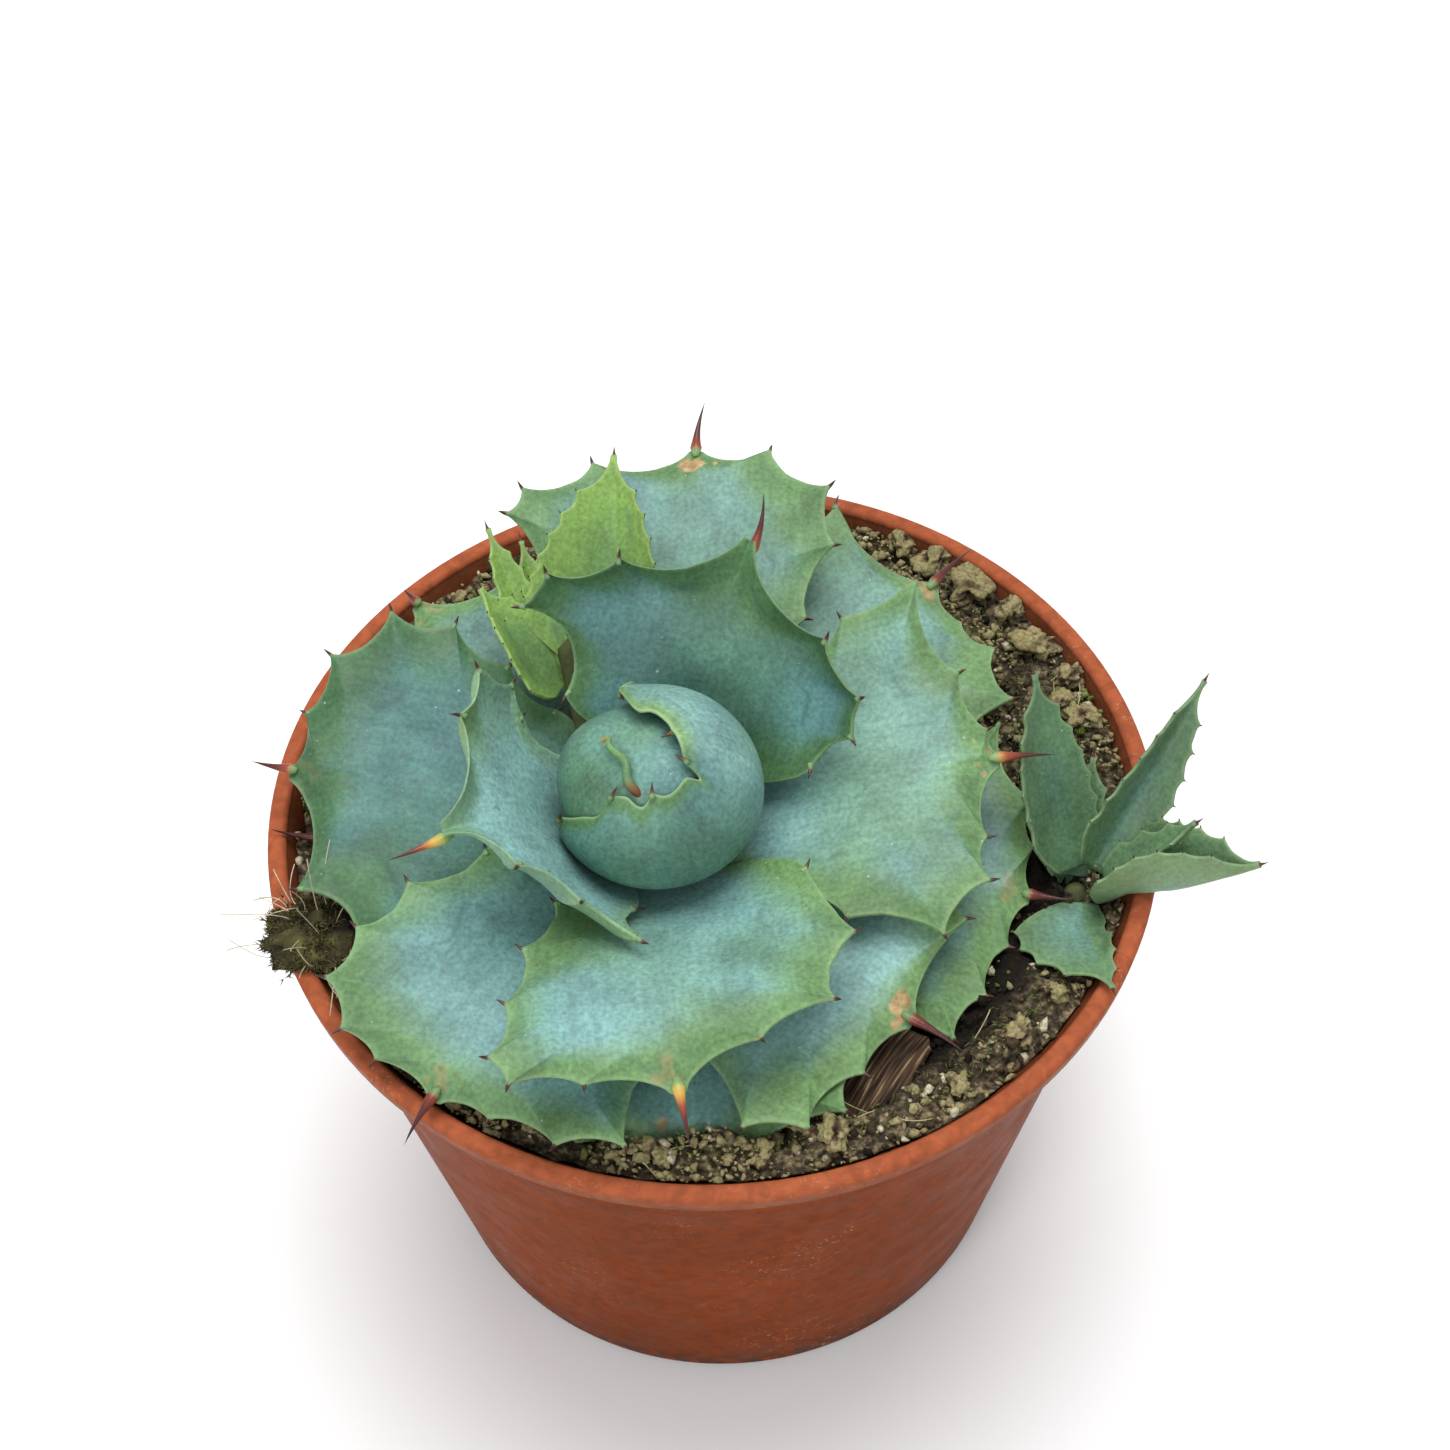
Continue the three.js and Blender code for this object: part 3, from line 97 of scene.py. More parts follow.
# Main leaves, youngest first, each on a lower foot than the last. rise: slope at foot, middle and
# tip. fold: curvature across, 1/mm. spine: length, lift and turn. left and right: teeth as (along,
# across), and the depth of the scallop before a tooth where it isn't the usual one. look: how young
# the spine is, how scarred the tip, how green the skin, how light painted shade leaves the skin (1
# for none), and how dark the painted shade in a band behind the margin.
TOP_FOOT = 17.5
FOOT_STEP = 1.1
LEAVES = {
    "leaf_01": {
        "azimuth": 206, "length": 28.8, "rise": (46, 54, 2), "neck": 7, "fold": (0.06, 0.02, 0.05),
        "roll": -8, "curl": (-2.8, 5), "spine": (7.5, 10, 0), "look": (1.0, 0.0, -0.3, 1.0, 0.0),
        "left": ((5.5, 14), (12, 21.5), (17.5, 14.5), (23.5, 8.5)),
        "right": ((1.5, 12), (10.5, 16), (12.5, 20), (20.5, 20.5), (23.5, 14.5)),
    },
    "leaf_02": {
        "azimuth": 67, "length": 30.3, "rise": (48, 44, 16), "fold": (0.06, 0.02, 0.05),
        "swing": -6, "curl": (-2.6, 6), "spine": (7, 45, 25), "look": (0.3, 0.0, 0.3, 0.54, 0.0),
        "left": ((5, 17.5), (14.5, 26.5, 0.3), (19, 24.5), (23, 16)),
        "right": ((6.5, 19), (12.5, 23.5), (18, 23.5), (23, 16.5)),
    },
    "leaf_03": {
        "azimuth": 270, "length": 41, "rise": (44, 29, -1), "fold": (0.05, 0.012, 0.03),
        "swing": 10, "curl": (1.8, 6), "spine": (7.5, -15, 0),
        "look": (0.85, 0.35, 0.05, 0.88, 0.12),
        "left": ((9, 19.5), (21.5, 24, 0.05), (33, 20), (36, 10.5)),
        "right": ((9, 13.5), (18.5, 17), (27, 19), (35, 21.5), (38.5, 19.5), (38.5, 10.5)),
    },
    "leaf_04": {
        "azimuth": 4, "length": 37.6, "rise": (27, 15, -6), "fold": (0.05, 0.012, 0.03), "swing": 4,
        "spine": (7.5, 0, -8), "look": (0.45, 0.8, 0.22, 0.9, 0.12),
        "left": ((10, 17), (20, 23), (31, 25.5, 0.04), (34.5, 12.5), (37, 4.5)),
        "right": ((8, 15.5), (15, 20.5), (26, 25), (32.5, 18), (33.5, 11)),
    },
    "leaf_05": {
        "azimuth": 235, "length": 41.6, "rise": (23, 13, -3), "fold": (0.04, 0.012, 0.03),
        "spine": (7, -10, 10), "look": (0.1, 0.35, 0.0, 0.8, 0.1),
        "left": ((10, 15.5), (21, 20.5), (35.5, 25), (39, 16.5), (40, 7)),
        "right": ((10, 15.5), (20, 20), (29, 21), (37, 19.5), (41, 14), (41.5, 8.5)),
    },
    "leaf_06": {
        "azimuth": 82, "length": 47.4, "rise": (19, 13, 1), "fold": (0.04, 0.012, 0.03), "swing": 6,
        "spine": (7, 25, -20), "look": (0.2, 1.0, 0.25, 0.82, 0.15),
        "left": ((14, 12), (24, 20.5), (34, 25.5), (38, 23.5), (44, 14)),
        "right": ((12, 13.5), (22, 16.5), (32.5, 19.5), (40.5, 18.5), (47, 10)),
    },
    "leaf_07": {
        "azimuth": 311, "length": 36.3, "rise": (21, 13, -1), "fold": (0.04, 0.012, 0.03),
        "swing": 18, "spine": (8.5, -10, -10), "look": (0.05, 1.0, -0.05, 1.0, 0.0),
        "left": ((9, 15), (19, 20), (29, 20), (36, 14.5)),
        "right": ((9, 15), (17, 19.5), (28.5, 25), (33.5, 20.5), (34.5, 9)),
    },
    "leaf_08": {
        "azimuth": 172, "length": 41.8, "rise": (20, 12, -2), "fold": (0.04, 0.012, 0.03),
        "swing": -4, "spine": (5.5, 0, -8), "look": (0.3, 0.1, 0.15, 0.47, 0.1),
        "left": ((7, 14), (14, 18.5), (22, 24.5), (27.5, 27.5), (36, 17.5, 0.3)),
        "right": ((8, 15), (15.5, 20), (24, 24.5), (33, 24), (40, 16.5), (42, 8.5)),
    },
    "leaf_09": {
        "azimuth": 42, "length": 46.6, "rise": (9, 3, -9), "swing": 10, "spine": (8, 10, -15),
        "look": (0.05, 0.7, 0.3, 0.86, 0.0),
        "left": ((12, 15), (24, 20.5), (36, 22), (46.5, 17.5)),
        "right": ((12, 15), (25, 20), (36.5, 20.5), (42, 13), (43.5, 6.5)),
    },
    "leaf_10": {
        "azimuth": 268, "length": 38.2, "rise": (19, 13, 1), "spine": (2.5, -10, 0),
        "look": (0.2, 0.9, 0.1, 0.8, 0.0),
        "left": ((10, 15), (20, 20), (28, 24.5), (34.5, 24.5), (37.5, 13)),
        "right": ((10, 15), (20, 20), (28, 21.5), (35, 16.5), (37, 9)),
    },
    "leaf_11": {
        "azimuth": 132, "length": 42, "rise": (10, 7, -3), "neck": 7, "spine": (3, 0, 0),
        "look": (0.1, 0.3, 0.35, 0.8, 0.0),
        "left": ((10, 14), (20, 19), (30, 20), (36, 13)),
        "right": ((10, 14), (20, 19), (30, 20), (36, 13)),
    },
    "leaf_12": {
        "azimuth": 348, "length": 41.4, "rise": (15, 9, -3), "spine": (5.5, 15, 0),
        "look": (0.05, 0.3, 0.15, 0.92, 0.0),
        "left": ((10, 15), (22, 22), (34, 24), (39.5, 13.5), (41, 7)),
        "right": ((10, 15), (22, 22), (34.5, 24.5), (37.5, 16), (39.5, 7.5)),
    },
    "leaf_13": {
        "azimuth": 178, "length": 37, "rise": (15, 9, 2), "neck": 7, "spine": (7, 38, 0),
        "look": (0.1, 0.3, 0.3, 0.85, 0.0),
        "left": ((10, 14), (20, 19), (29, 19), (34.5, 11)),
        "right": ((10, 14), (20, 19), (29, 19), (34.5, 11)),
    },
}
MAIN_BLADE = {
    "foot_radius": 9, "neck": 7.5, "fold": (0.03, 0.012, 0.03), "roll": 0, "swing": 0, "twist": 0,
    "crease": 0, "edge": 0.5, "midrib": (2.3, 1.0), "curl": (1.6, 7), "thorn": 1.1,
    "thorn_radius": 0.42, "spine_half": 0.85, "rows": 14, "scallop_steps": 12,
}

# Leaves of the offsets: azimuth, foot, length, tilt, fold, twist, half width, teeth, the slant of
# the two halves of a keeled leaf, or 0 where the leaf is evenly bent, and the left half's share of
# the width where the halves differ
RIGHT_LEAVES = {
    "right_leaf_1": (358, 5.5, 16, 62, 0.3, 0, 3.4, 3, 35),
    "right_leaf_2": (56, 4.5, 29, 51, 0.22, 30, 5.2, 6, 42),
    "right_leaf_3": (118, 3.6, 27, 46, 0.1, 0, 6, 6, 0),
    "right_leaf_4": (340, 2.8, 24, 48, 0.17, -18, 9.5, 6, 62),
    "right_leaf_5": (87, 2, 16, 40, 0.1, 0, 4, 3, 0),
    "right_leaf_6": (272, 2.4, 17.8, 19, -0.06, 0, 10, 4, 0, 0.25),
    "right_leaf_7": (98, 0.5, 31, 17, 0.08, 0, 4, 3, 0),
}
BACK_LEAVES = {
    "back_leaf_1": (22, 2, 29.7, 72, 0.11, 66, 8, 7, 30, 1.4),
    "back_leaf_2": (172, 2.6, 22, 78, 0.16, -60, 3.8, 6, 40),
    "back_leaf_3": (196, 0.5, 17.5, 66, 0.12, -50, 6.5, 6, 30),
    "back_leaf_4": (146, 5, 16.5, 85, 0.25, -30, 2.8, 4, 35),
    "back_leaf_5": (105, 7.6, 10.8, 88, 0.2, 0, 2.2, 3, 25),
}
# Painted shade on some leaves of the right offset: how light it leaves their skin, 1 for the rest
RIGHT_PAINTED_SHADE = {"right_leaf_1": 0.85, "right_leaf_2": 0.8, "right_leaf_3": 0.72, "right_leaf_5": 0.8}
OFFSET_BLADE = {
    "foot_radius": 2.3, "edge": 0.45, "midrib": (1.0, 0.4), "curl": (0, 1), "roll": 0, "swing": 0,
    "spine": (1.4, 0, 0), "thorn": 0.45, "thorn_radius": 0.26, "spine_half": 0.3, "rows": 11,
    "scallop_steps": 8,
}
DRIED_LEAF = {
    "azimuth": 0, "foot": 0, "length": 15, "rise": (16, -14, 22), "neck": 2.75,
    "fold": (0.16, 0.05, 0.22), "roll": 14, "swing": 12, "spine": (1.5, 0, 20), "twist": 0,
    "left": ((3.75, 4.4), (7.5, 5.5), (12, 3.3)), "right": ((3.75, 4.4), (7.5, 5.5), (12, 3.3)),
    "foot_radius": 0, "edge": 0.8, "midrib": (0.6, 0.3), "curl": (0, 1), "crease": 0,
    "thorn": 0.4, "thorn_radius": 0.3, "spine_half": 0.6, "rows": 9, "scallop_steps": 8,
}
DRIED_CROWN = {"at": (24.5, -34.5, 78.6), "lean": 0, "toward": 0, "turn": -128}

# Skin colours: in the middle of the blade, near its margin, and on the very rim
LEAF_SKIN = ((0.205, 0.385, 0.365), (0.165, 0.300, 0.115), (0.42, 0.58, 0.30))
OFFSET_SKIN = ((0.125, 0.245, 0.195), (0.125, 0.230, 0.108), (0.38, 0.48, 0.22))
YOUNG_SKIN = ((0.150, 0.275, 0.090), (0.215, 0.36, 0.085), (0.46, 0.57, 0.20))

# Bud: angles are measured at its middle, azimuth round the crown's axis and polar down from it
BUD_MIDDLE = np.array([0.0, -1.6, 25.7])
BUD_RADIUS = 13.8
BUD_INNER = 11.9
BUD_BASE = 120.0
BUD_WAIST = 3.5
HOOD_FROM, HOOD_TO = 192, 452
HOOD_THICK = (1.45, 0.4)
HOOD_TUCK = 0.7
# Margin of the hood as azimuth, polar angle, and 1 where a tooth stands
HOOD_MARGIN = (
    (200, 104, 0), (201, 80, 1), (215, 62, 0), (226, 52, 0), (229, 37, 1), (242, 34, 0),
    (258, 37, 0), (268, 29, 1), (286, 31, 0), (312, 27, 0), (324, 33, 0), (328, 20, 1),
    (350, 14, 0), (388, 11, 1), (423, 13, 0), (452, 17, 0), (474, 21, 0), (475, 46, 1),
    (463, 62, 0), (456, 90, 0),
)
INNER_BULGE = {"azimuth": 158, "half": 44, "height": 1.3}
CURLED_SPINE = ((-1.6, -7.2, 35.2), (-3.2, -6.0, 36.9), (-3.5, -3.6, 37.7), (-5.3, -1.8, 38.1),
                (-5.6, -0.5, 38.0), (-6.4, -0.3, 37.2))
CURLED_SPINE_RADIUS = 0.66

# Mossy lumps on the mix as x, y, radius
MOSS_LUMPS = (
    (36, 45, 5), (41, 36, 4.5), (47, 29, 5), (54, 14, 3.5), (37, -39, 4.5), (14, -52, 4),
    (-27, -48, 4), (-50, -20, 7),
)
# The mix: how far it is heaped toward the wall, its crumbs, moss and roots, and the clods on it as
# x, y, radius
HEAP = {"all round": 4.7, "behind": 0.3, "azimuth": 38, "half": 62}
UNDER_LEAVES = SOIL_TOP - 6
LEAF_GAP = 0.7
MIX_SPOKES = 300
MIX_RINGS = 84
CRUMBS = 14000
CRUMB_SIZE = (0.28, 0.75)
CRUMB_ROOM = 1.5
CLOD_SHAPE = np.array([1, 0.8, 0.6])
FIBRES = 9000
MOSS_DENSITY = 26
MOSS_BLADE_RADIUS = 0.11
ROOT_HAIRS = 36
ROOT_HAIR_RADIUS = 0.07
TUFT_BLADES = 2600
TUFT_HAIRS = 26
CLODS = (
    (33.5, 44.5, 2.8), (38, 39, 3.4), (43, 34.5, 2.6), (46.5, 28, 3.2), (50.5, 21.5, 2.4),
    (51.5, 13.5, 2.6), (29, 48.5, 2.2), (49, 17, 1.8), (38, -36.5, 2.2), (30, -43.5, 1.9),
    (14, -51, 2.2), (5, -52.5, 1.7), (-8, -52.3, 1.8), (-22, -48, 2.0), (43, -30.5, 1.9),
    (-36, 40, 1.8),
)
TUFT_AT = np.array([-52.6, -19.8, 81.6])

# Camera: solved from the lip and foot of the pot. Lengths in millimetres, angles in degrees.
PICTURE_SIDE = 1450
FOCAL_PIXELS = 2603.0
CAMERA_ELEVATION = 51.2
CAMERA_DISTANCE = 360.0
CAMERA_ROLL = -0.029
CAMERA_TARGET = np.array([2.0, 13.6, 82.0])
SENSOR_WIDTH = 36.0

# Studio light
WORLD_STRENGTH = 0.62
OVERHEAD_POWER = 9.5
FRONT_POWER = 5.0


# Small maths

def between(three, x):
    """Value at x (0 to 1) of the parabola through three knots at 0, 1/2 and 1."""
    a, b, c = three
    return a + (-3 * a + 4 * b - c) * x + (2 * a - 4 * b + 2 * c) * x * x


def unit(v):
    return v / np.linalg.norm(v, axis=-1, keepdims=True)


def smooth(x):
    x = np.clip(x, 0, 1)
    return x * x * (3 - 2 * x)


def bump(distance, radius):
    """1 at its middle and 0 from its radius out."""
    return (1 - np.clip(np.abs(distance) / radius, 0, 1) ** 2) ** 2


def turning(toward, lean):
    """Rotation that leans the +Z axis toward an azimuth."""
    azimuth = math.radians(toward)
    axis = Vector((-math.sin(azimuth), math.cos(azimuth), 0))
    return np.array(Matrix.Rotation(math.radians(lean), 3, axis))


def about_z(degrees):
    return np.array(Matrix.Rotation(math.radians(degrees), 3, "Z"))


def round_axis(radius, turn, z=0.0):
    """Points at radii, turns in radians and heights round the pot's axis."""
    radius, turn, z = np.broadcast_arrays(radius, turn, z)
    return np.stack([radius * np.cos(turn), radius * np.sin(turn), z], -1)


def all_round(count):
    return np.linspace(0, 2 * math.pi, count, endpoint=False)


def toward_axis(points, share):
    """Scales the distance of points from the pot's axis."""
    return points * np.stack([share, share, np.ones_like(share)], -1)


def noise(points, size, seed=0):
    """Smooth noise from -1 to 1 whose lumps have the given size."""
    place = np.asarray(points, float) / size + seed * 17.31
    cell = np.floor(place).astype(np.int64)
    share = place - cell
    share = share * share * (3 - 2 * share)
    total = np.zeros(place.shape[:-1])
    for corner in np.ndindex(2, 2, 2):
        x, y, z = np.moveaxis(cell + np.array(corner), -1, 0)
        mixed = x * 374761393 + y * 668265263 + z * 1440662683
        mixed = (mixed ^ (mixed >> 13)) * 1274126177
        value = ((mixed ^ (mixed >> 16)) & 0xFFFF) / 32767.5 - 1
        weight = np.prod(np.where(corner, share, 1 - share), axis=-1)
        total += weight * value
    return total


def layered(points, size, seed=0, layers=3):
    """Noise in several layers, each half the size and half the height of the last."""
    return sum(noise(points, size / 2 ** k, seed + k) / 2 ** k for k in range(layers))


# Mesh building

class Build:
    """Gathers grids and tubes with their per-vertex values, and makes one object of them."""

    def __init__(self):
        self.points = []
        self.faces = []
        self.values = []
        self.count = 0

    def add(self, points, faces, **values):
        points = np.asarray(points, float).reshape(-1, 3)
        faces = faces.tolist() if isinstance(faces, np.ndarray) else faces
        self.points.append(points)
        self.faces.extend([corner + self.count for corner in face] for face in faces)
        self.values.append({name: np.broadcast_to(np.ravel(v) if np.ndim(v) else v, len(points))
                            for name, v in values.items()})
        self.count += len(points)

    def grid(self, points, wrap=False, caps=False, **values):
        """Quads over an array of points [along, across]. wrap closes it across."""
        along, across = points.shape[:2]
        values = {name: np.broadcast_to(v, (along, across)) if np.ndim(v) == 2 else v
                  for name, v in values.items()}
        index = np.arange(along * across).reshape(along, across)
        if wrap:
            index = np.concatenate([index, index[:, :1]], axis=1)
        quads = np.stack([index[:-1, :-1], index[1:, :-1], index[1:, 1:], index[:-1, 1:]], axis=-1)
        faces = quads.reshape(-1, 4)
        self.add(points, faces, **values)
        if caps:
            base = self.count - along * across
            self.faces.append([base + k for k in range(across)])
            last = base + (along - 1) * across
            self.faces.append([last + k for k in reversed(range(across))])

    def tube(self, path, radii, sides=10, flat=1.0, **values):
        """A round tapered body along a path of points, closed at both ends."""
        path = np.asarray(path, float)
        heading = unit(np.gradient(path, axis=0))
        guide = np.array([0.0, 0.0, 1.0]) if abs(heading[0][2]) < 0.9 else np.array([1.0, 0.0, 0.0])
        rings = []
        for middle, forward, radius in zip(path, heading, radii):
            side = unit(np.cross(guide, forward))
            guide = unit(np.cross(forward, side))
            turn = all_round(sides)[:, None]
            rings.append(middle + radius * (np.cos(turn) * side + flat * np.sin(turn) * guide))
        spread = {name: np.repeat(v, sides) if np.ndim(v) else v for name, v in values.items()}
        self.grid(np.array(rings), wrap=True, caps=True, **spread)

    def object(self, name, material, smooth_faces=True):
        mesh = bpy.data.meshes.new(name)
        points = np.concatenate(self.points) * MM
        mesh.from_pydata(points.tolist(), [], self.faces)
        for key in {key for values in self.values for key in values}:
            spread = [values.get(key, np.zeros(len(points)))
                      for values, points in zip(self.values, self.points)]
            give_value(mesh, key, np.concatenate(spread))
        mesh.polygons.foreach_set("use_smooth", [smooth_faces] * len(mesh.polygons))
        mesh.materials.append(material)
        turn_out(mesh)
        return in_scene(name, mesh)


def give_value(mesh, name, values):
    """Gives each point of a mesh a named value that its material can read."""
    layer = mesh.attributes.new(name, "FLOAT", "POINT")
    layer.data.foreach_set("value", values.astype(np.float32))


def turn_out(mesh, merge=0.0):
    """Merges points that lie closer than a distance in metres, and turns all faces outward."""
    work = bmesh.new()
    work.from_mesh(mesh)
    if merge:
        bmesh.ops.remove_doubles(work, verts=work.verts, dist=merge)
    bmesh.ops.recalc_face_normals(work, faces=work.faces)
    work.to_mesh(mesh)
    work.free()


def in_scene(name, data):
    made = bpy.data.objects.new(name, data)
    bpy.context.scene.collection.objects.link(made)
    return made


def icosphere(subdivisions):
    """Points and faces of a round lump of triangles, 1 in radius."""
    work = bmesh.new()
    bmesh.ops.create_icosphere(work, subdivisions=subdivisions, radius=1)
    return unpacked(work)


def refined(node, cuts, smoothing=0.0):
    """Points in millimetres and faces of a frame node's mesh, with its edges divided."""
    work = bmesh.new()
    work.from_mesh(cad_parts[node].data)
    bmesh.ops.remove_doubles(work, verts=work.verts, dist=0.02 * MM)
    bmesh.ops.subdivide_edges(work, edges=work.edges, cuts=cuts, smooth=smoothing,
                              use_grid_fill=True)
    work.verts.index_update()
    points, faces = unpacked(work)
    return points / MM, faces


def unpacked(work):
    points = np.array([v.co[:] for v in work.verts])
    faces = [[v.index for v in face.verts] for face in work.faces]
    work.free()
    return points, faces


def place(made, slot, *nodes):
    """Rides the piece on the object, and lets it stand for its CAD nodes."""
    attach(made, "root")
    if nodes:
        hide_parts(*nodes)
    return made


def tree_of(*objects):
    """One search tree over the meshes of several objects."""
    points = []
    faces = []
    for item in objects:
        base = len(points)
        points.extend(v.co.copy() for v in item.data.vertices)
        faces.extend([base + k for k in face.vertices] for face in item.data.polygons)
    return BVHTree.FromPolygons(points, faces)


def height_on(tree, x, y, otherwise):
    """Height in millimetres of the first face under a spot."""
    hit = tree.ray_cast(Vector((x * MM, y * MM, 0.3)), Vector((0, 0, -1)))[0]
    return hit.z / MM if hit else otherwise


# Materials

class Shader:
    """A material's node tree, with short calls for the nodes that this scene uses."""

    def __init__(self, name, roughness=0.5, specular=0.4):
        self.material = bpy.data.materials.new(name)
        self.material.use_nodes = True
        self.tree = self.material.node_tree
        self.surface = self.tree.nodes["Principled BSDF"]
        self.surface.inputs["Roughness"].default_value = roughness
        self.surface.inputs["Specular IOR Level"].default_value = specular
        self.place = self.tree.nodes.new("ShaderNodeTexCoord").outputs["Object"]

    def put(self, socket, value):
        if isinstance(value, bpy.types.NodeSocket):
            self.tree.links.new(value, socket)
        elif isinstance(value, tuple) and len(value) == 3 and socket.type == "RGBA":
            socket.default_value = (*value, 1)
        else:
            socket.default_value = value

    def value(self, name):
        node = self.tree.nodes.new("ShaderNodeAttribute")
        node.attribute_name = name
        return node.outputs["Fac"]

    def noise(self, size, detail=3.0, distortion=0.0):
        """Noise from 0 to 1 whose lumps have the given size in millimetres."""
        node = self.tree.nodes.new("ShaderNodeTexNoise")
        node.inputs["Scale"].default_value = 1 / (size * MM)
        node.inputs["Detail"].default_value = detail
        node.inputs["Distortion"].default_value = distortion
        self.tree.links.new(self.place, node.inputs["Vector"])
        return node.outputs["Fac"]

    def fibres(self, long, wide):
        """Noise drawn out along the leaf, from its along and across values in millimetres."""
        joined = self.tree.nodes.new("ShaderNodeCombineXYZ")
        self.put(joined.inputs[0], self.maths("MULTIPLY", self.value("along"), 1 / long))
        self.put(joined.inputs[1], self.maths("MULTIPLY", self.value("across"), 1 / wide))
        node = self.tree.nodes.new("ShaderNodeTexNoise")
        node.inputs["Scale"].default_value = 1.0
        node.inputs["Detail"].default_value = 3.0
        self.tree.links.new(joined.outputs[0], node.inputs["Vector"])
        return node.outputs["Fac"]

    def cells(self, size):
        """Distance to the nearest of many spots that lie about a size in millimetres apart."""
        node = self.tree.nodes.new("ShaderNodeTexVoronoi")
        node.inputs["Scale"].default_value = 1 / (size * MM)
        self.tree.links.new(self.place, node.inputs["Vector"])
        return node.outputs["Distance"]

    def ramp(self, value, *stops):
        node = self.tree.nodes.new("ShaderNodeValToRGB")
        self.tree.links.new(value, node.inputs["Fac"])
        ramp = node.color_ramp
        while len(ramp.elements) < len(stops):
            ramp.elements.new(0.5)
        for element, (at, colour) in zip(ramp.elements, stops):
            element.position = at
            element.color = (*colour, 1) if isinstance(colour, tuple) else (colour,) * 3 + (1,)
        return node.outputs["Color"]

    def mix(self, share, a, b, blend="MIX"):
        node = self.tree.nodes.new("ShaderNodeMix")
        node.data_type = "RGBA"
        node.blend_type = blend
        self.put(node.inputs[0], share)
        self.put(node.inputs[6], a)
        self.put(node.inputs[7], b)
        return node.outputs[2]

    def times(self, colour, *factors):
        """The colour multiplied by each factor in turn."""
        for factor in factors:
            colour = self.mix(1.0, colour, factor, "MULTIPLY")
        return colour

    def cloud(self, size, detail, low, high, distortion=0.0):
        """Noise stretched between two stops, each as (noise, value)."""
        return self.ramp(self.noise(size, detail, distortion), low, high)

    def maths(self, operation, a, b=0.0):
        node = self.tree.nodes.new("ShaderNodeMath")
        node.operation = operation
        self.put(node.inputs[0], a)
        self.put(node.inputs[1], b)
        return node.outputs[0]

    def bump(self, height, depth, strength=1.0, normal=None):
        """Relief of the given depth in millimetres."""
        node = self.tree.nodes.new("ShaderNodeBump")
        node.inputs["Strength"].default_value = strength
        node.inputs["Distance"].default_value = depth * MM
        self.tree.links.new(height, node.inputs["Height"])
        if normal is not None:
            self.tree.links.new(normal, node.inputs["Normal"])
        return node.outputs["Normal"]

    def finish(self, colour, normal=None, roughness=None):
        self.put(self.surface.inputs["Base Color"], colour)
        if normal is not None:
            self.put(self.surface.inputs["Normal"], normal)
        if roughness is not None:
            self.put(self.surface.inputs["Roughness"], roughness)
        return self.material


SPINE_COLOURS = (
    (0.0, (0.36, 0.42, 0.10)), (0.2, (0.58, 0.34, 0.07)), (0.4, (0.30, 0.06, 0.025)),
    (0.62, (0.10, 0.022, 0.018)), (1.0, (0.03, 0.012, 0.012)),
)


def blade_material(name, middle, green, pale):
    """Waxy leaf skin: bloom in the middle, greener toward the margin, a pale rim, dark spines."""
    shader = Shader(name, roughness=0.5, specular=0.35)
    colour = shader.mix(shader.value("green"), middle, green)
    patches = shader.cloud(8, 4, (0.35, 0.80), (0.65, 1.16))
    fibres = shader.ramp(shader.fibres(7, 0.9), (0.3, 0.90), (0.7, 1.09))
    mottle = shader.cloud(0.6, 5, (0.3, 0.76), (0.7, 1.22))
    colour = shader.times(colour, patches, fibres, mottle)
    line = shader.ramp(shader.maths("ABSOLUTE", shader.value("ghost")), (0.0, 1.0), (0.45, 0.0))
    broken = shader.cloud(7, 2, (0.5, 0.0), (0.62, 0.4))
    colour = shader.mix(shader.times(line, broken), colour, (0.07, 0.15, 0.12))
    # Painted shade: a low light value darkens the skin toward a cool shade colour
    shade = shader.ramp(shader.value("light"), (0.0, 0.0), (0.45, (0.33, 0.47, 0.49)), (1.0, 1.0))
    colour = shader.mix(shader.value("pale"), shader.times(colour, shade), pale)
    specks = shader.ramp(shader.cells(2.6), (0.035, 1.0), (0.07, 0.0))
    sparse = shader.cloud(6, 2, (0.5, 0.0), (0.62, 0.55))
    colour = shader.mix(shader.times(specks, sparse), colour, (0.62, 0.68, 0.60))
    scratches = shader.ramp(shader.fibres(4, 0.25), (0.68, 0.0), (0.76, 0.4))
    colour = shader.mix(scratches, colour, (0.06, 0.13, 0.09))
    bruises = shader.cloud(1.3, 2, (0.70, 0.0), (0.77, 0.5), 0.6)
    colour = shader.mix(bruises, colour, (0.07, 0.11, 0.06))
    scar = shader.cloud(1.4, 4, (0.3, (0.22, 0.11, 0.04)), (0.7, (0.56, 0.40, 0.20)))
    colour = shader.mix(shader.value("scar"), colour, scar)
    horn = shader.ramp(shader.value("horn"), *SPINE_COLOURS)
    colour = shader.mix(shader.value("is_horn"), colour, horn)
    grain = shader.bump(shader.noise(0.4, 3), 0.06, 0.7)
    normal = shader.bump(shader.noise(5, 2), 0.35, 0.7, grain)
    normal = shader.bump(shader.fibres(9, 1.6), 0.12, 0.6, normal)
    rough = shader.cloud(3, 3, (0.3, 0.44), (0.7, 0.6))
    rough = shader.mix(shader.value("is_horn"), rough, (0.3, 0.3, 0.3))
    return shader.finish(colour, normal, rough)


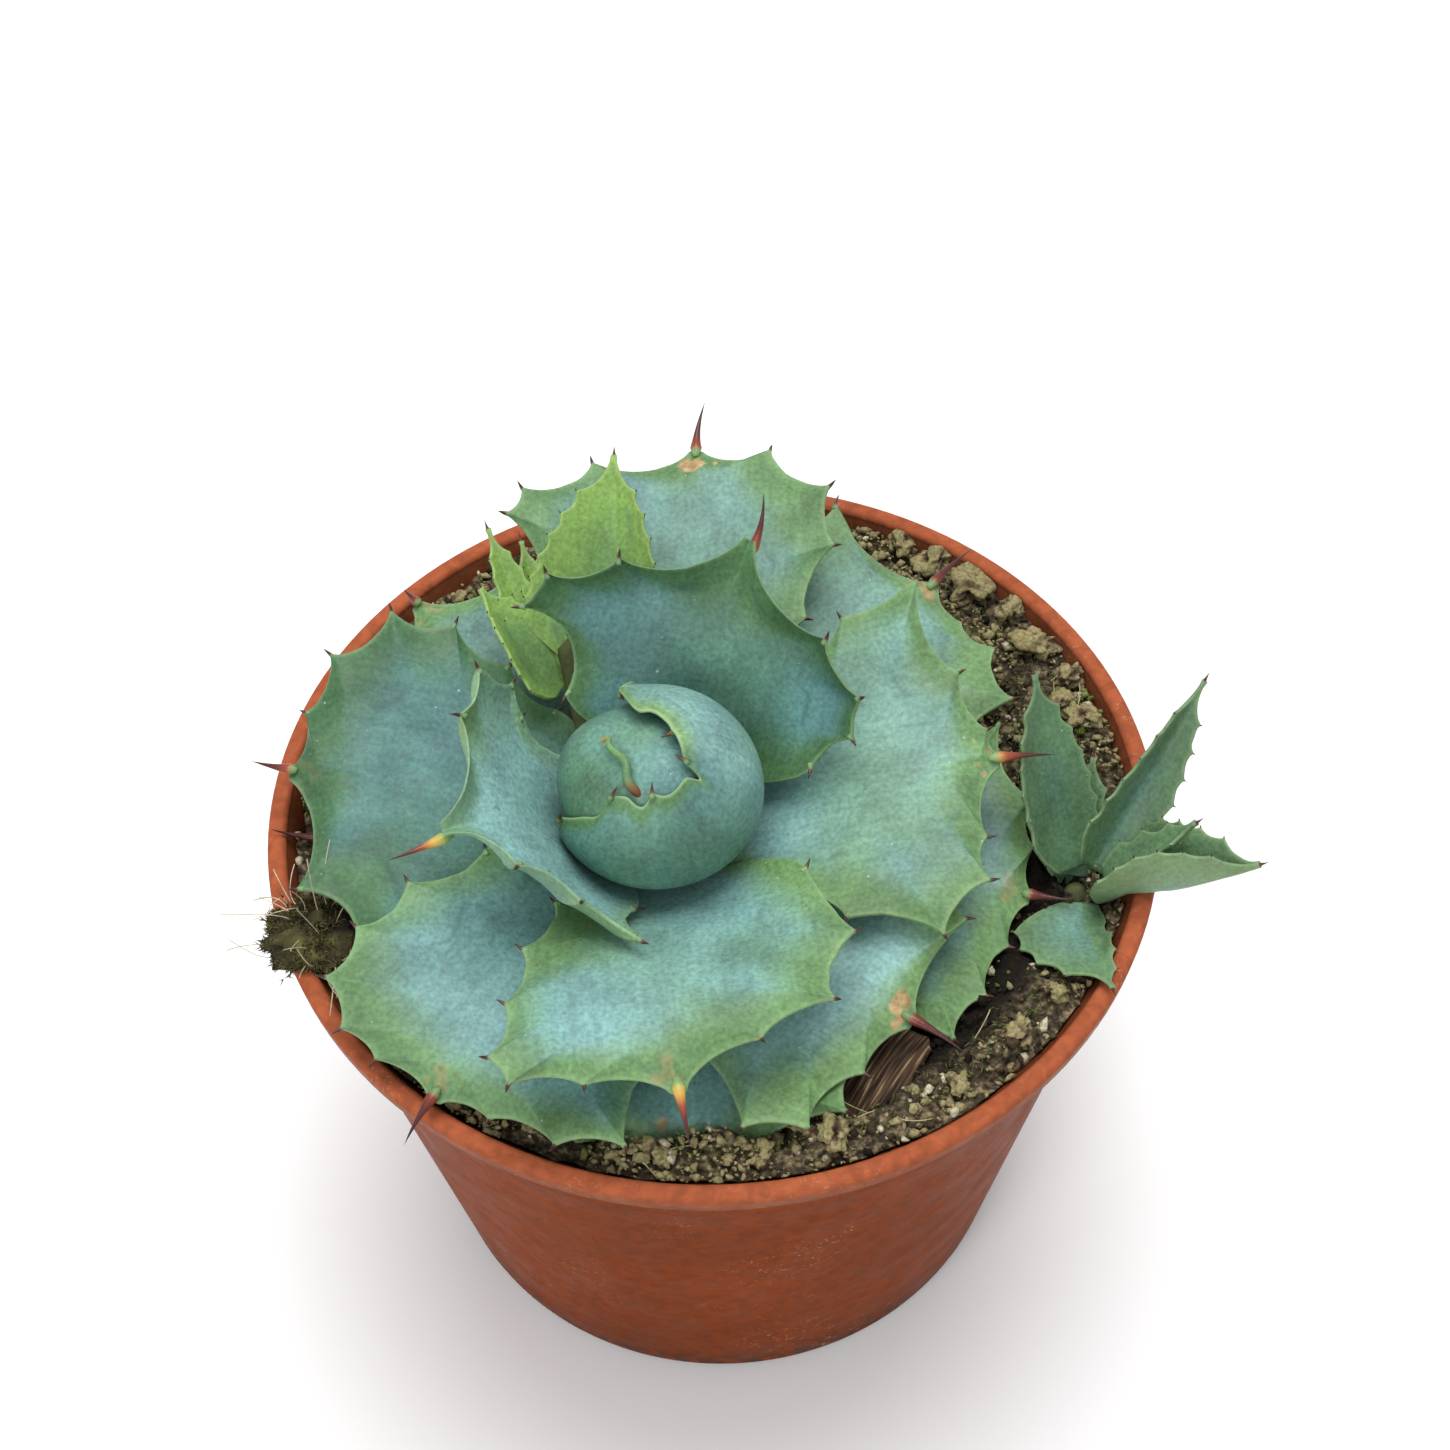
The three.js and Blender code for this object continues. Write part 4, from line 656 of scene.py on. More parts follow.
def pot_material():
    """Rust-brown moulded plastic, lighter on the lip, with mineral marks and dirt near the foot."""
    shader = Shader("pot_plastic", roughness=0.45, specular=0.02)
    colour = shader.cloud(24, 3, (0.3, (0.180, 0.033, 0.003)), (0.7, (0.230, 0.042, 0.005)))
    colour = shader.mix(shader.value("lip"), colour, (0.27, 0.085, 0.040))
    # Painted highlight: the top of the lip, where the light falls, is made lighter still
    colour = shader.mix(shader.value("painted_lip_highlight"), colour, (0.39, 0.100, 0.042))
    colour = shader.times(colour, shader.cloud(2.2, 5, (0.42, 1.0), (0.62, 0.80), 0.8))
    marks = shader.cloud(0.9, 5, (0.60, 0.0), (0.68, 0.5), 1.6)
    where = shader.cloud(16, 2, (0.52, 0.0), (0.64, 1.0))
    colour = shader.mix(shader.times(marks, where), colour, (0.46, 0.30, 0.20))
    dirt = shader.cloud(1.6, 4, (0.44, 0.0), (0.56, 0.9))
    colour = shader.mix(shader.times(dirt, shader.value("low")), colour, (0.045, 0.028, 0.018))
    normal = shader.bump(shader.noise(0.5, 2), 0.02, 0.5)
    normal = shader.bump(shader.noise(9, 2), 0.12, 0.5, normal)
    return shader.finish(colour, normal, shader.cloud(6, 4, (0.3, 0.35), (0.7, 0.5)))


MIX_COLOURS = (
    (0.0, (0.013, 0.010, 0.007)), (0.3, (0.095, 0.068, 0.038)), (0.55, (0.33, 0.27, 0.14)),
    (0.78, (0.11, 0.15, 0.022)), (1.0, (0.55, 0.49, 0.34)),
)


def mix_material():
    """Peat and compost: near black in the gaps, brown to khaki on the crumbs, green where mossy."""
    shader = Shader("growing_mix", roughness=0.92, specular=0.15)
    crumbs = shader.ramp(shader.noise(1.1, 5), (0.3, (0.014, 0.011, 0.008)),
                         (0.5, (0.07, 0.053, 0.032)), (0.7, (0.27, 0.21, 0.12)))
    tinted = shader.ramp(shader.value("hue"), *MIX_COLOURS)
    colour = shader.mix(shader.value("is_crumb"), crumbs, tinted)
    colour = shader.times(colour, shader.cloud(0.5, 3, (0.3, 0.55), (0.7, 1.3)))
    return shader.finish(colour, shader.bump(shader.noise(0.4, 4), 0.3, 0.8))


def moss_material(name, *stops):
    """Blades and roots coloured by their hue, in lighter and darker patches."""
    shader = Shader(name, roughness=0.9, specular=0.2)
    colour = shader.ramp(shader.value("hue"), *stops)
    return shader.finish(shader.times(colour, shader.cloud(1.5, 3, (0.3, 0.6), (0.7, 1.3))))


def plain_material(name, dark, light, size, roughness, depth):
    """Natural stuff with one grain: dark to light over lumps of a size, with relief to match."""
    shader = Shader(name, roughness=roughness, specular=0.3)
    grain = shader.noise(size, 5)
    colour = shader.ramp(grain, (0.3, dark), (0.7, light))
    return shader.finish(colour, shader.bump(grain, depth, 0.8))


def dried_material():
    """A withered leaf: brown, painted darker as the shade it lies in, with paler fibres along it.
    """
    shader = Shader("dried_skin", roughness=0.85, specular=0.2)
    fibres = shader.fibres(7, 0.5)
    colour = shader.ramp(fibres, (0.4, (0.02, 0.012, 0.008)), (0.58, (0.10, 0.058, 0.032)),
                         (0.72, (0.45, 0.33, 0.20)))
    return shader.finish(colour, shader.bump(fibres, 0.4, 0.9))


# Leaves

class Blade:
    """A leaf's surface, swept along its midrib (s) and bent across it (t), in world millimetres."""

    STEPS = 96

    def __init__(self, crown, shape):
        self.shape = shape
        self.length = shape["length"]
        self.spine_length, self.spine_lift, self.spine_turn = shape["spine"]
        self.reach = self.length + self.spine_length
        azimuth = shape["azimuth"] + crown.get("turn", 0)
        self.turn = turning(crown["toward"], crown["lean"]) @ about_z(azimuth)
        self.origin = np.array(crown["at"], float)
        stride = self.reach / self.STEPS
        middles = (np.arange(self.STEPS) + 0.5) * stride
        steps = self.tangent(middles) * stride
        start = np.array([[shape["foot_radius"], 0, shape["foot"]]])
        self.stations = np.arange(self.STEPS + 1) * stride
        self.midrib = np.concatenate([start, start + np.cumsum(steps, axis=0)])

    def tangent(self, s):
        x = np.clip(s / self.length, 0, 1)
        beyond = np.clip((s - self.length) / self.spine_length, 0, 1)
        slope = np.radians(between(self.shape["rise"], x) + self.spine_lift * beyond)
        yaw = np.radians(self.shape["swing"] * x * x + self.spine_turn * beyond)
        level = np.cos(slope)
        return np.stack([level * np.cos(yaw), level * np.sin(yaw), np.sin(slope)], -1)

    def at(self, s, t):
        """Point and upward normal of the top face."""
        s, t = np.broadcast_arrays(np.asarray(s, float), np.asarray(t, float))
        middle = np.stack([np.interp(s, self.stations, self.midrib[:, k]) for k in range(3)], -1)
        along = self.tangent(s)
        level = unit(np.stack([-along[..., 1], along[..., 0], np.zeros_like(s)], -1))
        up = np.cross(along, level)
        x = np.clip(s / self.length, 0, 1)
        turn = np.radians(self.shape["twist"] + self.shape["roll"] * x)[..., None]
        side = level * np.cos(turn) + up * np.sin(turn)
        lift = up * np.cos(turn) - level * np.sin(turn)
        bend = between(self.shape["fold"], x)
        across, rise = np.sin(bend * t) / bend, (1 - np.cos(bend * t)) / bend
        level_share, rise_share = np.cos(bend * t), np.sin(bend * t)
        if self.shape["crease"]:
            slant = math.radians(self.shape["crease"]) * (0.55 + 0.45 * smooth(x * 1.6))
            keel = np.sqrt(t ** 2 + KEEL_ROUND ** 2)
            across, rise = t * np.cos(slant), (keel - KEEL_ROUND) * np.sin(slant)
            level_share, rise_share = np.cos(slant), t / keel * np.sin(slant)
        point = middle + side * across[..., None] + lift * rise[..., None]
        normal = unit(lift * level_share[..., None] - side * rise_share[..., None])
        return self.origin + point @ self.turn.T, normal @ self.turn.T

    def knots(self, side):
        """Corners of one side's margin from neck to spine: (s, t), or (s, t, scallop's depth)."""
        return [(0, self.shape["neck"]), *self.shape[side], (self.length, self.shape["spine_half"])]

    def teeth(self):
        """Each tooth's place and the way it points, in (s, t) of its side, and that side's sign."""
        for side, sign in SIDES:
            knots = [np.array(knot[:2], float) for knot in self.knots(side)]
            for before, here, after in zip(knots, knots[1:], knots[2:]):
                chord = unit(after - before)
                aside = np.array([-chord[1], chord[0]])
                out = unit(here - before) - unit(after - here)
                out = unit(out) if np.linalg.norm(out) > 0.3 else aside
                yield here, out if out @ aside > 0 else -out, sign

    def margin(self, side):
        """Dense points of one side's scalloped margin from foot to spine."""
        steps = self.shape["scallop_steps"]
        share = np.arange(steps)[:, None] / steps
        knots = self.knots(side)
        points = []
        for number, (before, here) in enumerate(zip(knots, knots[1:])):
            depth = here[2] if len(here) > 2 else SCALLOP
            depth = depth if number else FIRST_SCALLOP
            before, here = np.array(before[:2], float), np.array(here[:2], float)
            step = here - before
            sag = (4 * share * (1 - share)) ** 0.85 * depth
            pulled = np.array([[step[1] * 0.9, -(abs(step[0]) * 0.9 + abs(step[1]) * 0.25)]])
            spot = before + step * share
            uneven = RAGGED * noise(np.append(spot, spot[:, :1] * 0 + knots[1][0], axis=1), 1.7)
            spot[:, 1] += uneven * np.minimum(1, 4 * share * (1 - share))[:, 0]
            points.append(spot + pulled * sag)
        points.append(np.array([knots[-1][:2]], float))
        return np.concatenate(points)

    def roots(self, margin):
        """Where on the midrib each margin point's row starts, so that no two rows cross."""
        s, t = margin.T
        start = np.maximum(0, s - ROW_SLANT * t * np.clip(s / self.length, 0, 1))
        for i in range(1, len(s)):
            least = start[i - 1]
            if t[i] > t[i - 1] + 1e-6:
                share = t[i - 1] / t[i]
                least = max(least, (s[i - 1] - s[i] * share) / (1 - share))
            start[i] = max(start[i], min(least, 0.97 * s[i]), start[i - 1])
        for i in range(len(s) - 2, -1, -1):
            most = start[i + 1]
            if t[i] > t[i + 1] + 1e-6:
                share = t[i + 1] / t[i]
                most = min(most, (s[i + 1] - s[i] * share) / (1 - share))
            start[i] = min(start[i], max(most, 0), start[i + 1])
        steps = np.linalg.norm(np.diff(margin, axis=0), axis=1)
        travelled = np.concatenate([[0], np.cumsum(steps)])
        start = 0.85 * start + 0.15 * self.length * travelled / travelled[-1]
        return start * self.length / start[-1]


def room_in_pot(points):
    """How much a leaf must be drawn in to stay inside the wall: 1 where it is clear of the pot."""
    away = np.hypot(points[..., 0], points[..., 1])
    low = points[..., 2] < POT_HEIGHT + 0.3
    reach = away[low].max(initial=0.0)
    if reach <= POT_ROOM or away[~low].max(initial=0.0) > LIP_RADIUS:
        return 1.0
    return (POT_ROOM - DRAWN_FROM) / (reach - DRAWN_FROM)


def drawn_in(points, scale):
    """Draws in what lies farther from the pot's axis than a radius, by a scale."""
    away = np.hypot(points[..., 0], points[..., 1])
    reach = np.where(away > DRAWN_FROM, DRAWN_FROM + (away - DRAWN_FROM) * scale, away)
    return toward_axis(points, reach / np.maximum(away, 1e-6))


def pressed_by(blade, node):
    """How far the frame's leaf lies below the free blade: a smooth function of (s, t)."""
    tree = tree_of(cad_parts[node])
    spots = [(blade.length * k / 9, 0.0) for k in range(10)]
    for (s, t), _, sign in blade.teeth():
        start = max(0, s - ROW_SLANT * t * s / blade.length)
        spots += [(start + (s - start) * share, sign * t * share) for share in (0.45, 0.82)]
    spots = np.array(spots)
    free = blade.at(spots[:, 0], spots[:, 1])[0]
    drops = np.array([max(0.0, z - height_on(tree, x, y, z)) for x, y, z in free])

    def drop(s, t):
        along = np.ravel(s)[:, None] - spots[:, 0]
        across = np.ravel(t)[:, None] - spots[:, 1]
        weight = np.exp(-(along ** 2 + across ** 2) / (2 * PRESS_SPREAD ** 2)) + 1e-9
        return (weight @ drops / weight.sum(axis=1)).reshape(np.shape(s))
    return drop


def no_drop(s, t):
    return np.zeros(np.shape(s))


def blade_body(build, blade, drop, tone=0.0, seed=0, wave=0.12, scarred=0.0, light=1.0, dusk=0.0):
    """The leaf's flesh: a loft of rounded cross-sections from foot to tip."""
    shape = blade.shape
    sides = {}
    for side, sign in SIDES:
        margin = blade.margin(side)
        sides[sign] = (margin, blade.roots(margin))
    columns = np.unique(np.concatenate([roots for _, roots in sides.values()]))
    keep = np.concatenate([[True], np.diff(columns) > COLUMN_GAP])
    keep[-1] = True
    columns = columns[keep]
    rows = 1 - (1 - np.arange(shape["rows"] + 1) / shape["rows"]) ** 1.4

    def line(sign, share, below, out=0.0):
        """One row's points and their to_edge, x, s and t. share is measured across, below in
        shares of the depth, and out past the margin."""
        margin, roots = sides[sign]
        edge = np.stack([np.interp(columns, roots, margin[:, k]) for k in range(2)], -1)
        reach = np.stack([edge[:, 0] - columns, edge[:, 1]], -1)
        away = unit(reach + 1e-9) * out
        s = columns + reach[:, 0] * share + away[:, 0]
        t = reach[:, 1] * share + away[:, 1]
        x = np.clip(s / blade.length, 0, 1)
        to_edge = np.linalg.norm(reach, axis=1) * (1 - share)
        point, normal = blade.at(s, sign * t)
        fall, width = shape["curl"]
        curled = fall * np.clip((x - 0.3) / 0.4, 0, 1) * np.clip(1 - to_edge / width, 0, 1) ** 2
        rib = shape["midrib"][0] + (shape["midrib"][1] - shape["midrib"][0]) * x
        depth = shape["edge"] + rib * (1 - share * share)
        lumps = wave * layered(point, 9, seed, 2) * (1 - 0.5 * share)
        point = point + normal * (lumps - curled - depth * below)[:, None]
        point[:, 2] -= drop(s, sign * t)
        return point, to_edge, x, s, sign * t

    rim = [(1.0, 0.5 - 0.5 * math.sin(a), RIM_OUT * math.cos(a)) for a in RIM_ANGLES]
    loop = [(1, share, 0.0, 0.0) for share in reversed(rows)]
    loop += [(-1, share, 0.0, 0.0) for share in rows[1:]]
    loop += [(-1, *edge) for edge in rim]
    loop += [(-1, share, 1.0, 0.0) for share in reversed(rows)]
    loop += [(1, share, 1.0, 0.0) for share in rows[1:]]
    loop += [(1, *edge) for edge in reversed(rim)]
    lines = zip(*(line(*where) for where in loop))
    points, to_edge, x, s, t = (np.stack(part, axis=1) for part in lines)
    blade.scale = room_in_pot(points)
    points = drawn_in(points, blade.scale)
    share, below = np.array([where[1:3] for where in loop]).T[:, None]

    near = sum(np.exp(-((s - a) ** 2 + (t - sign * b) ** 2) / 8)
               for (a, b), _, sign in blade.teeth())
    patches = layered(points, 14, seed + 5, 2)
    fresh = smooth(1 - to_edge / (11 + 6 * patches)) * 0.9 + 0.2 * np.clip(near, 0, 1)
    fresh = fresh + 0.3 * patches + tone + 0.25 * smooth((x - 0.7) / 0.3)
    ripple = 0.05 * np.sin(s * 0.55 + seed) + 0.06 * noise(points, 9, seed + 3)
    ghost = (share - GHOST_SHARE - ripple) * np.maximum(np.abs(t), to_edge + 1e-3)
    pale = smooth(1 - to_edge / 0.5) * 0.2 * (below < 0.8) + 0.2 * (below >= 0.8)
    tip = np.exp(-((s - blade.length + 2.4) ** 2 / 5 + t ** 2 / 9))
    scar = smooth((tip * (0.55 + 0.75 * noise(points, 1.1, seed + 9)) - 0.36) / 0.12) * scarred
    # Painted shade: light darkens the whole skin of a leaf that lies in shade, and more so in a
    # band behind the margin
    margin_shade_band = smooth((to_edge - 0.5) / 1.0) * smooth(1 - to_edge / 9) * smooth((x - 0.25) / 0.4)
    build.grid(points, wrap=True, caps=True, green=np.clip(fresh, 0, 1), pale=np.clip(pale, 0, 1),
               scar=scar, horn=0.0, is_horn=0.0, along=s, across=t, ghost=ghost,
               light=light * (1 - dusk * margin_shade_band))


def blade_horns(build, blade, drop, young=0.0):
    """A thorn on each tooth, and the spine at the tip."""
    shape = blade.shape
    length = shape["thorn"]
    share = np.linspace(0, 1, THORN_RINGS)
    reach = np.linspace(-0.8, length, THORN_RINGS)
    radii = shape["thorn_radius"] * np.clip(1.05 - share, 0.05, 1) ** 0.8
    for here, out, sign in blade.teeth():
        s = here[0] + out[0] * reach
        t = sign * (here[1] + out[1] * reach)
        points, normal = blade.at(s, t)
        curled = shape["curl"][0] * np.clip((s / blade.length - 0.3) / 0.4, 0, 1)
        hook = 0.25 * smooth(reach / length)
        points = points - normal * (curled + shape["edge"] * 0.5 - hook)[:, None]
        points[:, 2] -= drop(s, t)
        build.tube(drawn_in(points, blade.scale), radii, sides=8, horn=0.5 + 0.5 * share,
                   is_horn=smooth(share * 3.5 - 0.9), green=1.0, pale=0.15, light=1.0)
    share = np.linspace(-0.2, 1, SPINE_RINGS)
    s = blade.length + blade.spine_length * share
    points, normal = blade.at(s, 0 * s)
    points = points - normal * (shape["edge"] + shape["midrib"][1]) / 2
    points[:, 2] -= drop(np.minimum(s, blade.length), 0 * s)
    left = np.clip(1 - share, 0.015, 1)
    radii = shape["spine_half"] * (0.7 * left + 0.3 * left ** 4)
    radii = radii * np.clip((share + 0.35) / 0.35, 0.3, 1)
    start = 0.55 * (1 - young)
    colour = np.clip(start + (1 - start) * share * 1.1, 0, 1)
    build.tube(drawn_in(points, blade.scale), radii, sides=12, flat=0.85, horn=colour,
               is_horn=smooth(share * 9 + 0.9), green=1.0, pale=0.1, light=1.0)


def offset_shape(azimuth, foot, length, tilt, fold, twist, width, teeth, crease, left_share=1.0):
    """An offset's leaf: widest below the middle, with evenly spaced small teeth."""
    places = 0.12 + 0.76 * (np.arange(teeth) + 0.5) / teeth
    side = tuple((length * x, width * math.sin(math.pi * (0.28 + 0.72 * x)) ** 0.8) for x in places)
    return {
        **OFFSET_BLADE, "azimuth": azimuth, "foot": foot, "length": length,
        "rise": (tilt - 12, tilt, tilt + 4), "fold": (fold, fold * 0.8, fold * 1.2),
        "twist": twist, "neck": min(2.2, width * 0.45), "crease": crease,
        "left": tuple((s, t * left_share) for s, t in side), "right": side,
    }


def rest_on_lip(made):
    """Lifts what would cut through the pot's lip, so that the leaf rests on it."""
    points = np.array([v.co[:] for v in made.data.vertices]) / MM
    away = np.hypot(points[:, 0], points[:, 1])
    over = smooth((away - 53) / 4) * smooth((LIP_RADIUS + 4.5 - away) / 4)
    floor = POT_HEIGHT + LIP_GAP - 6 * (1 - over)
    above = points[:, 2] - floor
    lifted = floor + (above + np.sqrt(above ** 2 + LIP_EASE ** 2)) / 2
    points[:, 2] += (lifted - points[:, 2]) * np.minimum(1, 5 * over)
    made.data.vertices.foreach_set("co", (points * MM).ravel().astype(np.float32))
    made.data.update()
    return made


def make_leaf(node, crown, shape, material, slot, press, young=0.0, **looks):
    blade = Blade(crown, shape)
    drop = pressed_by(blade, node) if press else no_drop
    build = Build()
    blade_body(build, blade, drop, **looks)
    blade_horns(build, blade, drop, young)
    return place(build.object("plant_" + node, material), slot, node)


# Bud

def bud_points(azimuth, polar, radius):
    """Spots on the bud, drawn in to a waist below its middle."""
    azimuth, polar = np.radians(azimuth), np.asarray(polar, float)
    below = np.clip((polar - 90) / (BUD_BASE - 90), 0, 1)
    out = radius * np.sin(np.radians(polar)) - BUD_WAIST * below ** 2
    local = np.stack([
        BUD_MIDDLE[0] * (1 - below) + out * np.cos(azimuth),
        BUD_MIDDLE[1] * (1 - below) + out * np.sin(azimuth),
        BUD_MIDDLE[2] + radius * np.cos(np.radians(polar)),
    ], -1)
    return on_crown(local, MAIN_CROWN)


def on_crown(local, crown):
    return np.array(crown["at"], float) + local @ turning(crown["toward"], crown["lean"]).T


def curve_through(knots, steps):
    """Points of a smooth curve through knots, with a cusp where a knot's last place is 1."""
    knots = np.array(knots, float)
    slopes = np.zeros_like(knots)
    slopes[1:-1] = (knots[2:] - knots[:-2]) / 2
    points = []
    for k in range(len(knots) - 1):
        here, there = knots[k], knots[k + 1]
        leave = (there - here) if here[-1] else slopes[k]
        arrive = (there - here) if there[-1] else slopes[k + 1]
        x = np.arange(steps)[:, None] / steps
        points.append((2 * x ** 3 - 3 * x ** 2 + 1) * here + (x ** 3 - 2 * x ** 2 + x) * leave
                      + (3 * x ** 2 - 2 * x ** 3) * there + (x ** 3 - x ** 2) * arrive)
    points.append(knots[-1:])
    return np.concatenate(points)


def make_hood(material):
    """The outer leaf of the bud: a shell from its base up to its toothed margin."""
    margin = curve_through(HOOD_MARGIN, 9)
    base = np.linspace(HOOD_FROM, HOOD_TO, len(margin))
    rows = 1 - (1 - np.arange(25) / 24) ** 1.25

    def layer(share, inside, over=0.0):
        azimuth = base + (margin[:, 0] - base) * share
        polar = BUD_BASE + (margin[:, 1] - BUD_BASE) * share - over
        thick = HOOD_THICK[0] + (HOOD_THICK[1] - HOOD_THICK[0]) * share
        near = 1 - 1.9 * smooth((azimuth - 325) / 25)
        tucked = HOOD_TUCK * near * smooth((share - 0.6) / 0.4)
        points = bud_points(azimuth, polar, BUD_RADIUS - tucked - thick * inside)
        return points + 0.1 * noise(points, 7, 3)[:, None] * (1 - share)

    loop = [(share, 0.0, 0.0) for share in rows]
    loop += [(1.0, 0.5 - 0.5 * math.sin(a), 0.5 * math.cos(a)) for a in np.radians([50, 0, -50])]
    loop += [(share, 1.0, 0.0) for share in reversed(rows)]
    points = np.stack([layer(*where) for where in loop], axis=1)
    share = np.array([where[0] for where in loop])[None, :]
    height = (BUD_BASE - margin[:, 1])[:, None] * math.radians(1) * BUD_RADIUS
    to_edge = height * (1 - share)
    patches = layered(points, 8, 21, 2)
    front = smooth((320 - margin[:, :1]) / 50)
    green = smooth(1 - to_edge / 3.2) * 0.9 + 0.25 * patches + 0.25 + 0.2 * front
    pale = smooth(1 - to_edge / 0.5) * 0.4
    # Painted shade: the hood's front is darkened, and its right side, where the light falls, is
    # left light
    light = 0.58 + 0.5 * smooth((margin[:, :1] - 305) / 70)
    build = Build()
    build.grid(points, wrap=True, caps=True, green=np.clip(green, 0, 1), pale=pale, scar=0.0,
               horn=0.0, is_horn=0.0, light=light, along=to_edge, across=margin[:, :1] * 0.24,
               ghost=to_edge - 3.5 - 1.5 * patches)
    share = np.linspace(0, 1, 6)
    for azimuth, polar, sharp in HOOD_MARGIN:
        if sharp:
            path = bud_points(np.full(6, azimuth), polar + 2.5 - 9 * share, BUD_RADIUS - 0.4)
            build.tube(path, 0.42 * np.clip(1.05 - share, 0.05, 1), sides=7, green=1.0, light=1.0,
                       horn=0.45 + 0.4 * share, is_horn=smooth(share * 4 - 0.8))
    return place(build.object("plant_bud_hood", material), "leaf", "bud_hood")


def make_inner_bud(material):
    """The rolled leaf inside the hood, with its curled spine."""
    azimuth = np.linspace(0, 360, 96, endpoint=False)
    polar = np.linspace(1, 128, 60)
    around, down = np.meshgrid(azimuth, polar)
    faded = np.clip((down - 20) / 40, 0, 1) * np.clip((125 - down) / 30, 0, 1)
    swell = bump(around - INNER_BULGE["azimuth"], INNER_BULGE["half"])
    swell = INNER_BULGE["height"] * swell * faded
    # Painted shadow: hidden marks the side that the hood's margin overhangs, which is darkened; the
    # whole inner bud is a little darker too
    hidden = bump(around - 50, 80) * smooth((down - 14) / 12)
    points = bud_points(around, down, BUD_INNER + swell)
    points = points + 0.12 * noise(points, 6, 8)[..., None]
    patches = layered(points, 7, 33, 2)
    build = Build()
    build.grid(points, wrap=True, caps=True, green=np.clip(0.35 + 0.4 * patches, 0, 1), pale=0.0,
               scar=0.0, horn=0.0, is_horn=0.0, light=0.66 - 0.5 * hidden, along=down * 0.2,
               across=around * 0.2, ghost=2.0)
    path = curve_through([(*p, 0) for p in CURLED_SPINE], 5)[:, :3]
    share = np.linspace(0, 1, len(path))
    thick = CURLED_SPINE_RADIUS * (1 - 0.6 * share ** 1.5)
    browned = np.maximum(smooth((share - 0.7) * 4), smooth((0.25 - share) * 6))
    browning = 0.25 + 0.35 * smooth(1 - share * 3)
    build.tube(on_crown(path, MAIN_CROWN), thick, sides=12, horn=browning, is_horn=browned * 0.9,
               green=1.0, pale=0.0, light=0.75)
    return place(build.object("plant_bud_inner", material), "leaf", "bud_inner")


# Pot

def arc(middle, radius, start, end, steps=6):
    turns = np.radians(np.linspace(start, end, steps))
    return [(middle[0] + radius * math.cos(a), middle[1] + radius * math.sin(a)) for a in turns]


def pot_profile():
    """Half section of the pot from the middle of its foot, up the outside and down the inside."""
    lip_foot = POT_HEIGHT - LIP_DEPTH
    lip_crest = POT_HEIGHT - LIP_ROUND
    outside = [(0, 0), (20, 0), (FOOT_RADIUS - 3, 0)]
    outside += arc((FOOT_RADIUS - 2, 2), 2, -90, -6)
    outside += [(FOOT_RADIUS + (COLLAR_RADIUS - COLLAR_STEP - FOOT_RADIUS) * k / 12,
                 2 + (COLLAR_FOOT - 2) * k / 12) for k in range(1, 13)]
    outside += [
        (COLLAR_RADIUS - 0.3, COLLAR_FOOT + 0.35), (COLLAR_RADIUS, COLLAR_FOOT + COLLAR_STEP),
        (COLLAR_RADIUS + 0.3, COLLAR_FOOT + 5), (COLLAR_RADIUS + 0.6, lip_foot),
        (LIP_RADIUS - 0.8, lip_foot), (LIP_RADIUS - 0.25, lip_foot + 0.3),
    ]
    top = arc((LIP_RADIUS - LIP_ROUND, lip_crest), LIP_ROUND, 0, 90, 8)
    top += arc((LIP_RADIUS - LIP_WIDTH + LIP_ROUND, lip_crest), LIP_ROUND, 90, 200, 8)
    inside = [
        (COLLAR_RADIUS + 0.6 - WALL, lip_foot - 0.8),
        (COLLAR_RADIUS - WALL, COLLAR_FOOT + COLLAR_STEP),
        (COLLAR_RADIUS - COLLAR_STEP - WALL, COLLAR_FOOT), (FOOT_RADIUS - WALL, FLOOR_THICK + 1),
        (FOOT_RADIUS - WALL - 1, FLOOR_THICK), (20, FLOOR_THICK), (0, FLOOR_THICK),
    ]
    return np.array(outside + top + inside)


def make_pot():
    radius, height = pot_profile().T
    points = round_axis(radius, all_round(POT_TURNS)[:, None], height)
    index = np.arange(points[..., 0].size).reshape(POT_TURNS, -1)
    ahead = np.roll(index, -1, axis=0)
    faces = np.stack([index[:, :-1], ahead[:, :-1], ahead[:, 1:], index[:, 1:]], -1).reshape(-1, 4)
    mesh = bpy.data.meshes.new("pot_shell")
    mesh.from_pydata((points.reshape(-1, 3) * MM).tolist(), [], faces.tolist())
    turn_out(mesh, merge=1e-6)
    pot = in_scene("pot_shell", mesh)
    cut_drains(pot)
    rim = np.array([v.co[:] for v in pot.data.vertices]) / MM
    away = np.hypot(rim[:, 0], rim[:, 1])
    lip = smooth((rim[:, 2] - POT_HEIGHT + LIP_DEPTH + 1) / 1.5)
    lip = lip * smooth((away - LIP_RADIUS + LIP_WIDTH + 1.5) / 1.5)
    # Painted highlight along the top of the lip
    painted_lip_highlight = lip * smooth((rim[:, 2] - POT_HEIGHT + 1.3) / 0.8)
    low = 0.15 + 0.85 * smooth(1 - rim[:, 2] / 9)
    for name, values in (("lip", lip), ("painted_lip_highlight", painted_lip_highlight), ("low", low)):
        give_value(pot.data, name, values)
    pot.data.polygons.foreach_set("use_smooth", [True] * len(pot.data.polygons))
    pot.data.materials.clear()
    pot.data.materials.append(pot_material())
    return place(pot, "pot", "pot")


def cut_drains(pot):
    """Drain holes through the floor of the pot."""
    drills = Build()
    hole = round_axis(DRAIN_RADIUS, all_round(24), np.array([[-3.0], [5.0]]))
    for middle in round_axis(DRAIN_RING, all_round(DRAIN_COUNT)):
        drills.grid(hole + middle, wrap=True, caps=True)
    drill = drills.object("drill", None)
    cut = pot.modifiers.new("drains", "BOOLEAN")
    cut.operation = "DIFFERENCE"
    cut.object = drill
    graph = bpy.context.evaluated_depsgraph_get()
    cut_mesh = bpy.data.meshes.new_from_object(pot.evaluated_get(graph))
    pot.modifiers.clear()
    pot.data = cut_mesh
    bpy.data.objects.remove(drill)


# Growing mix

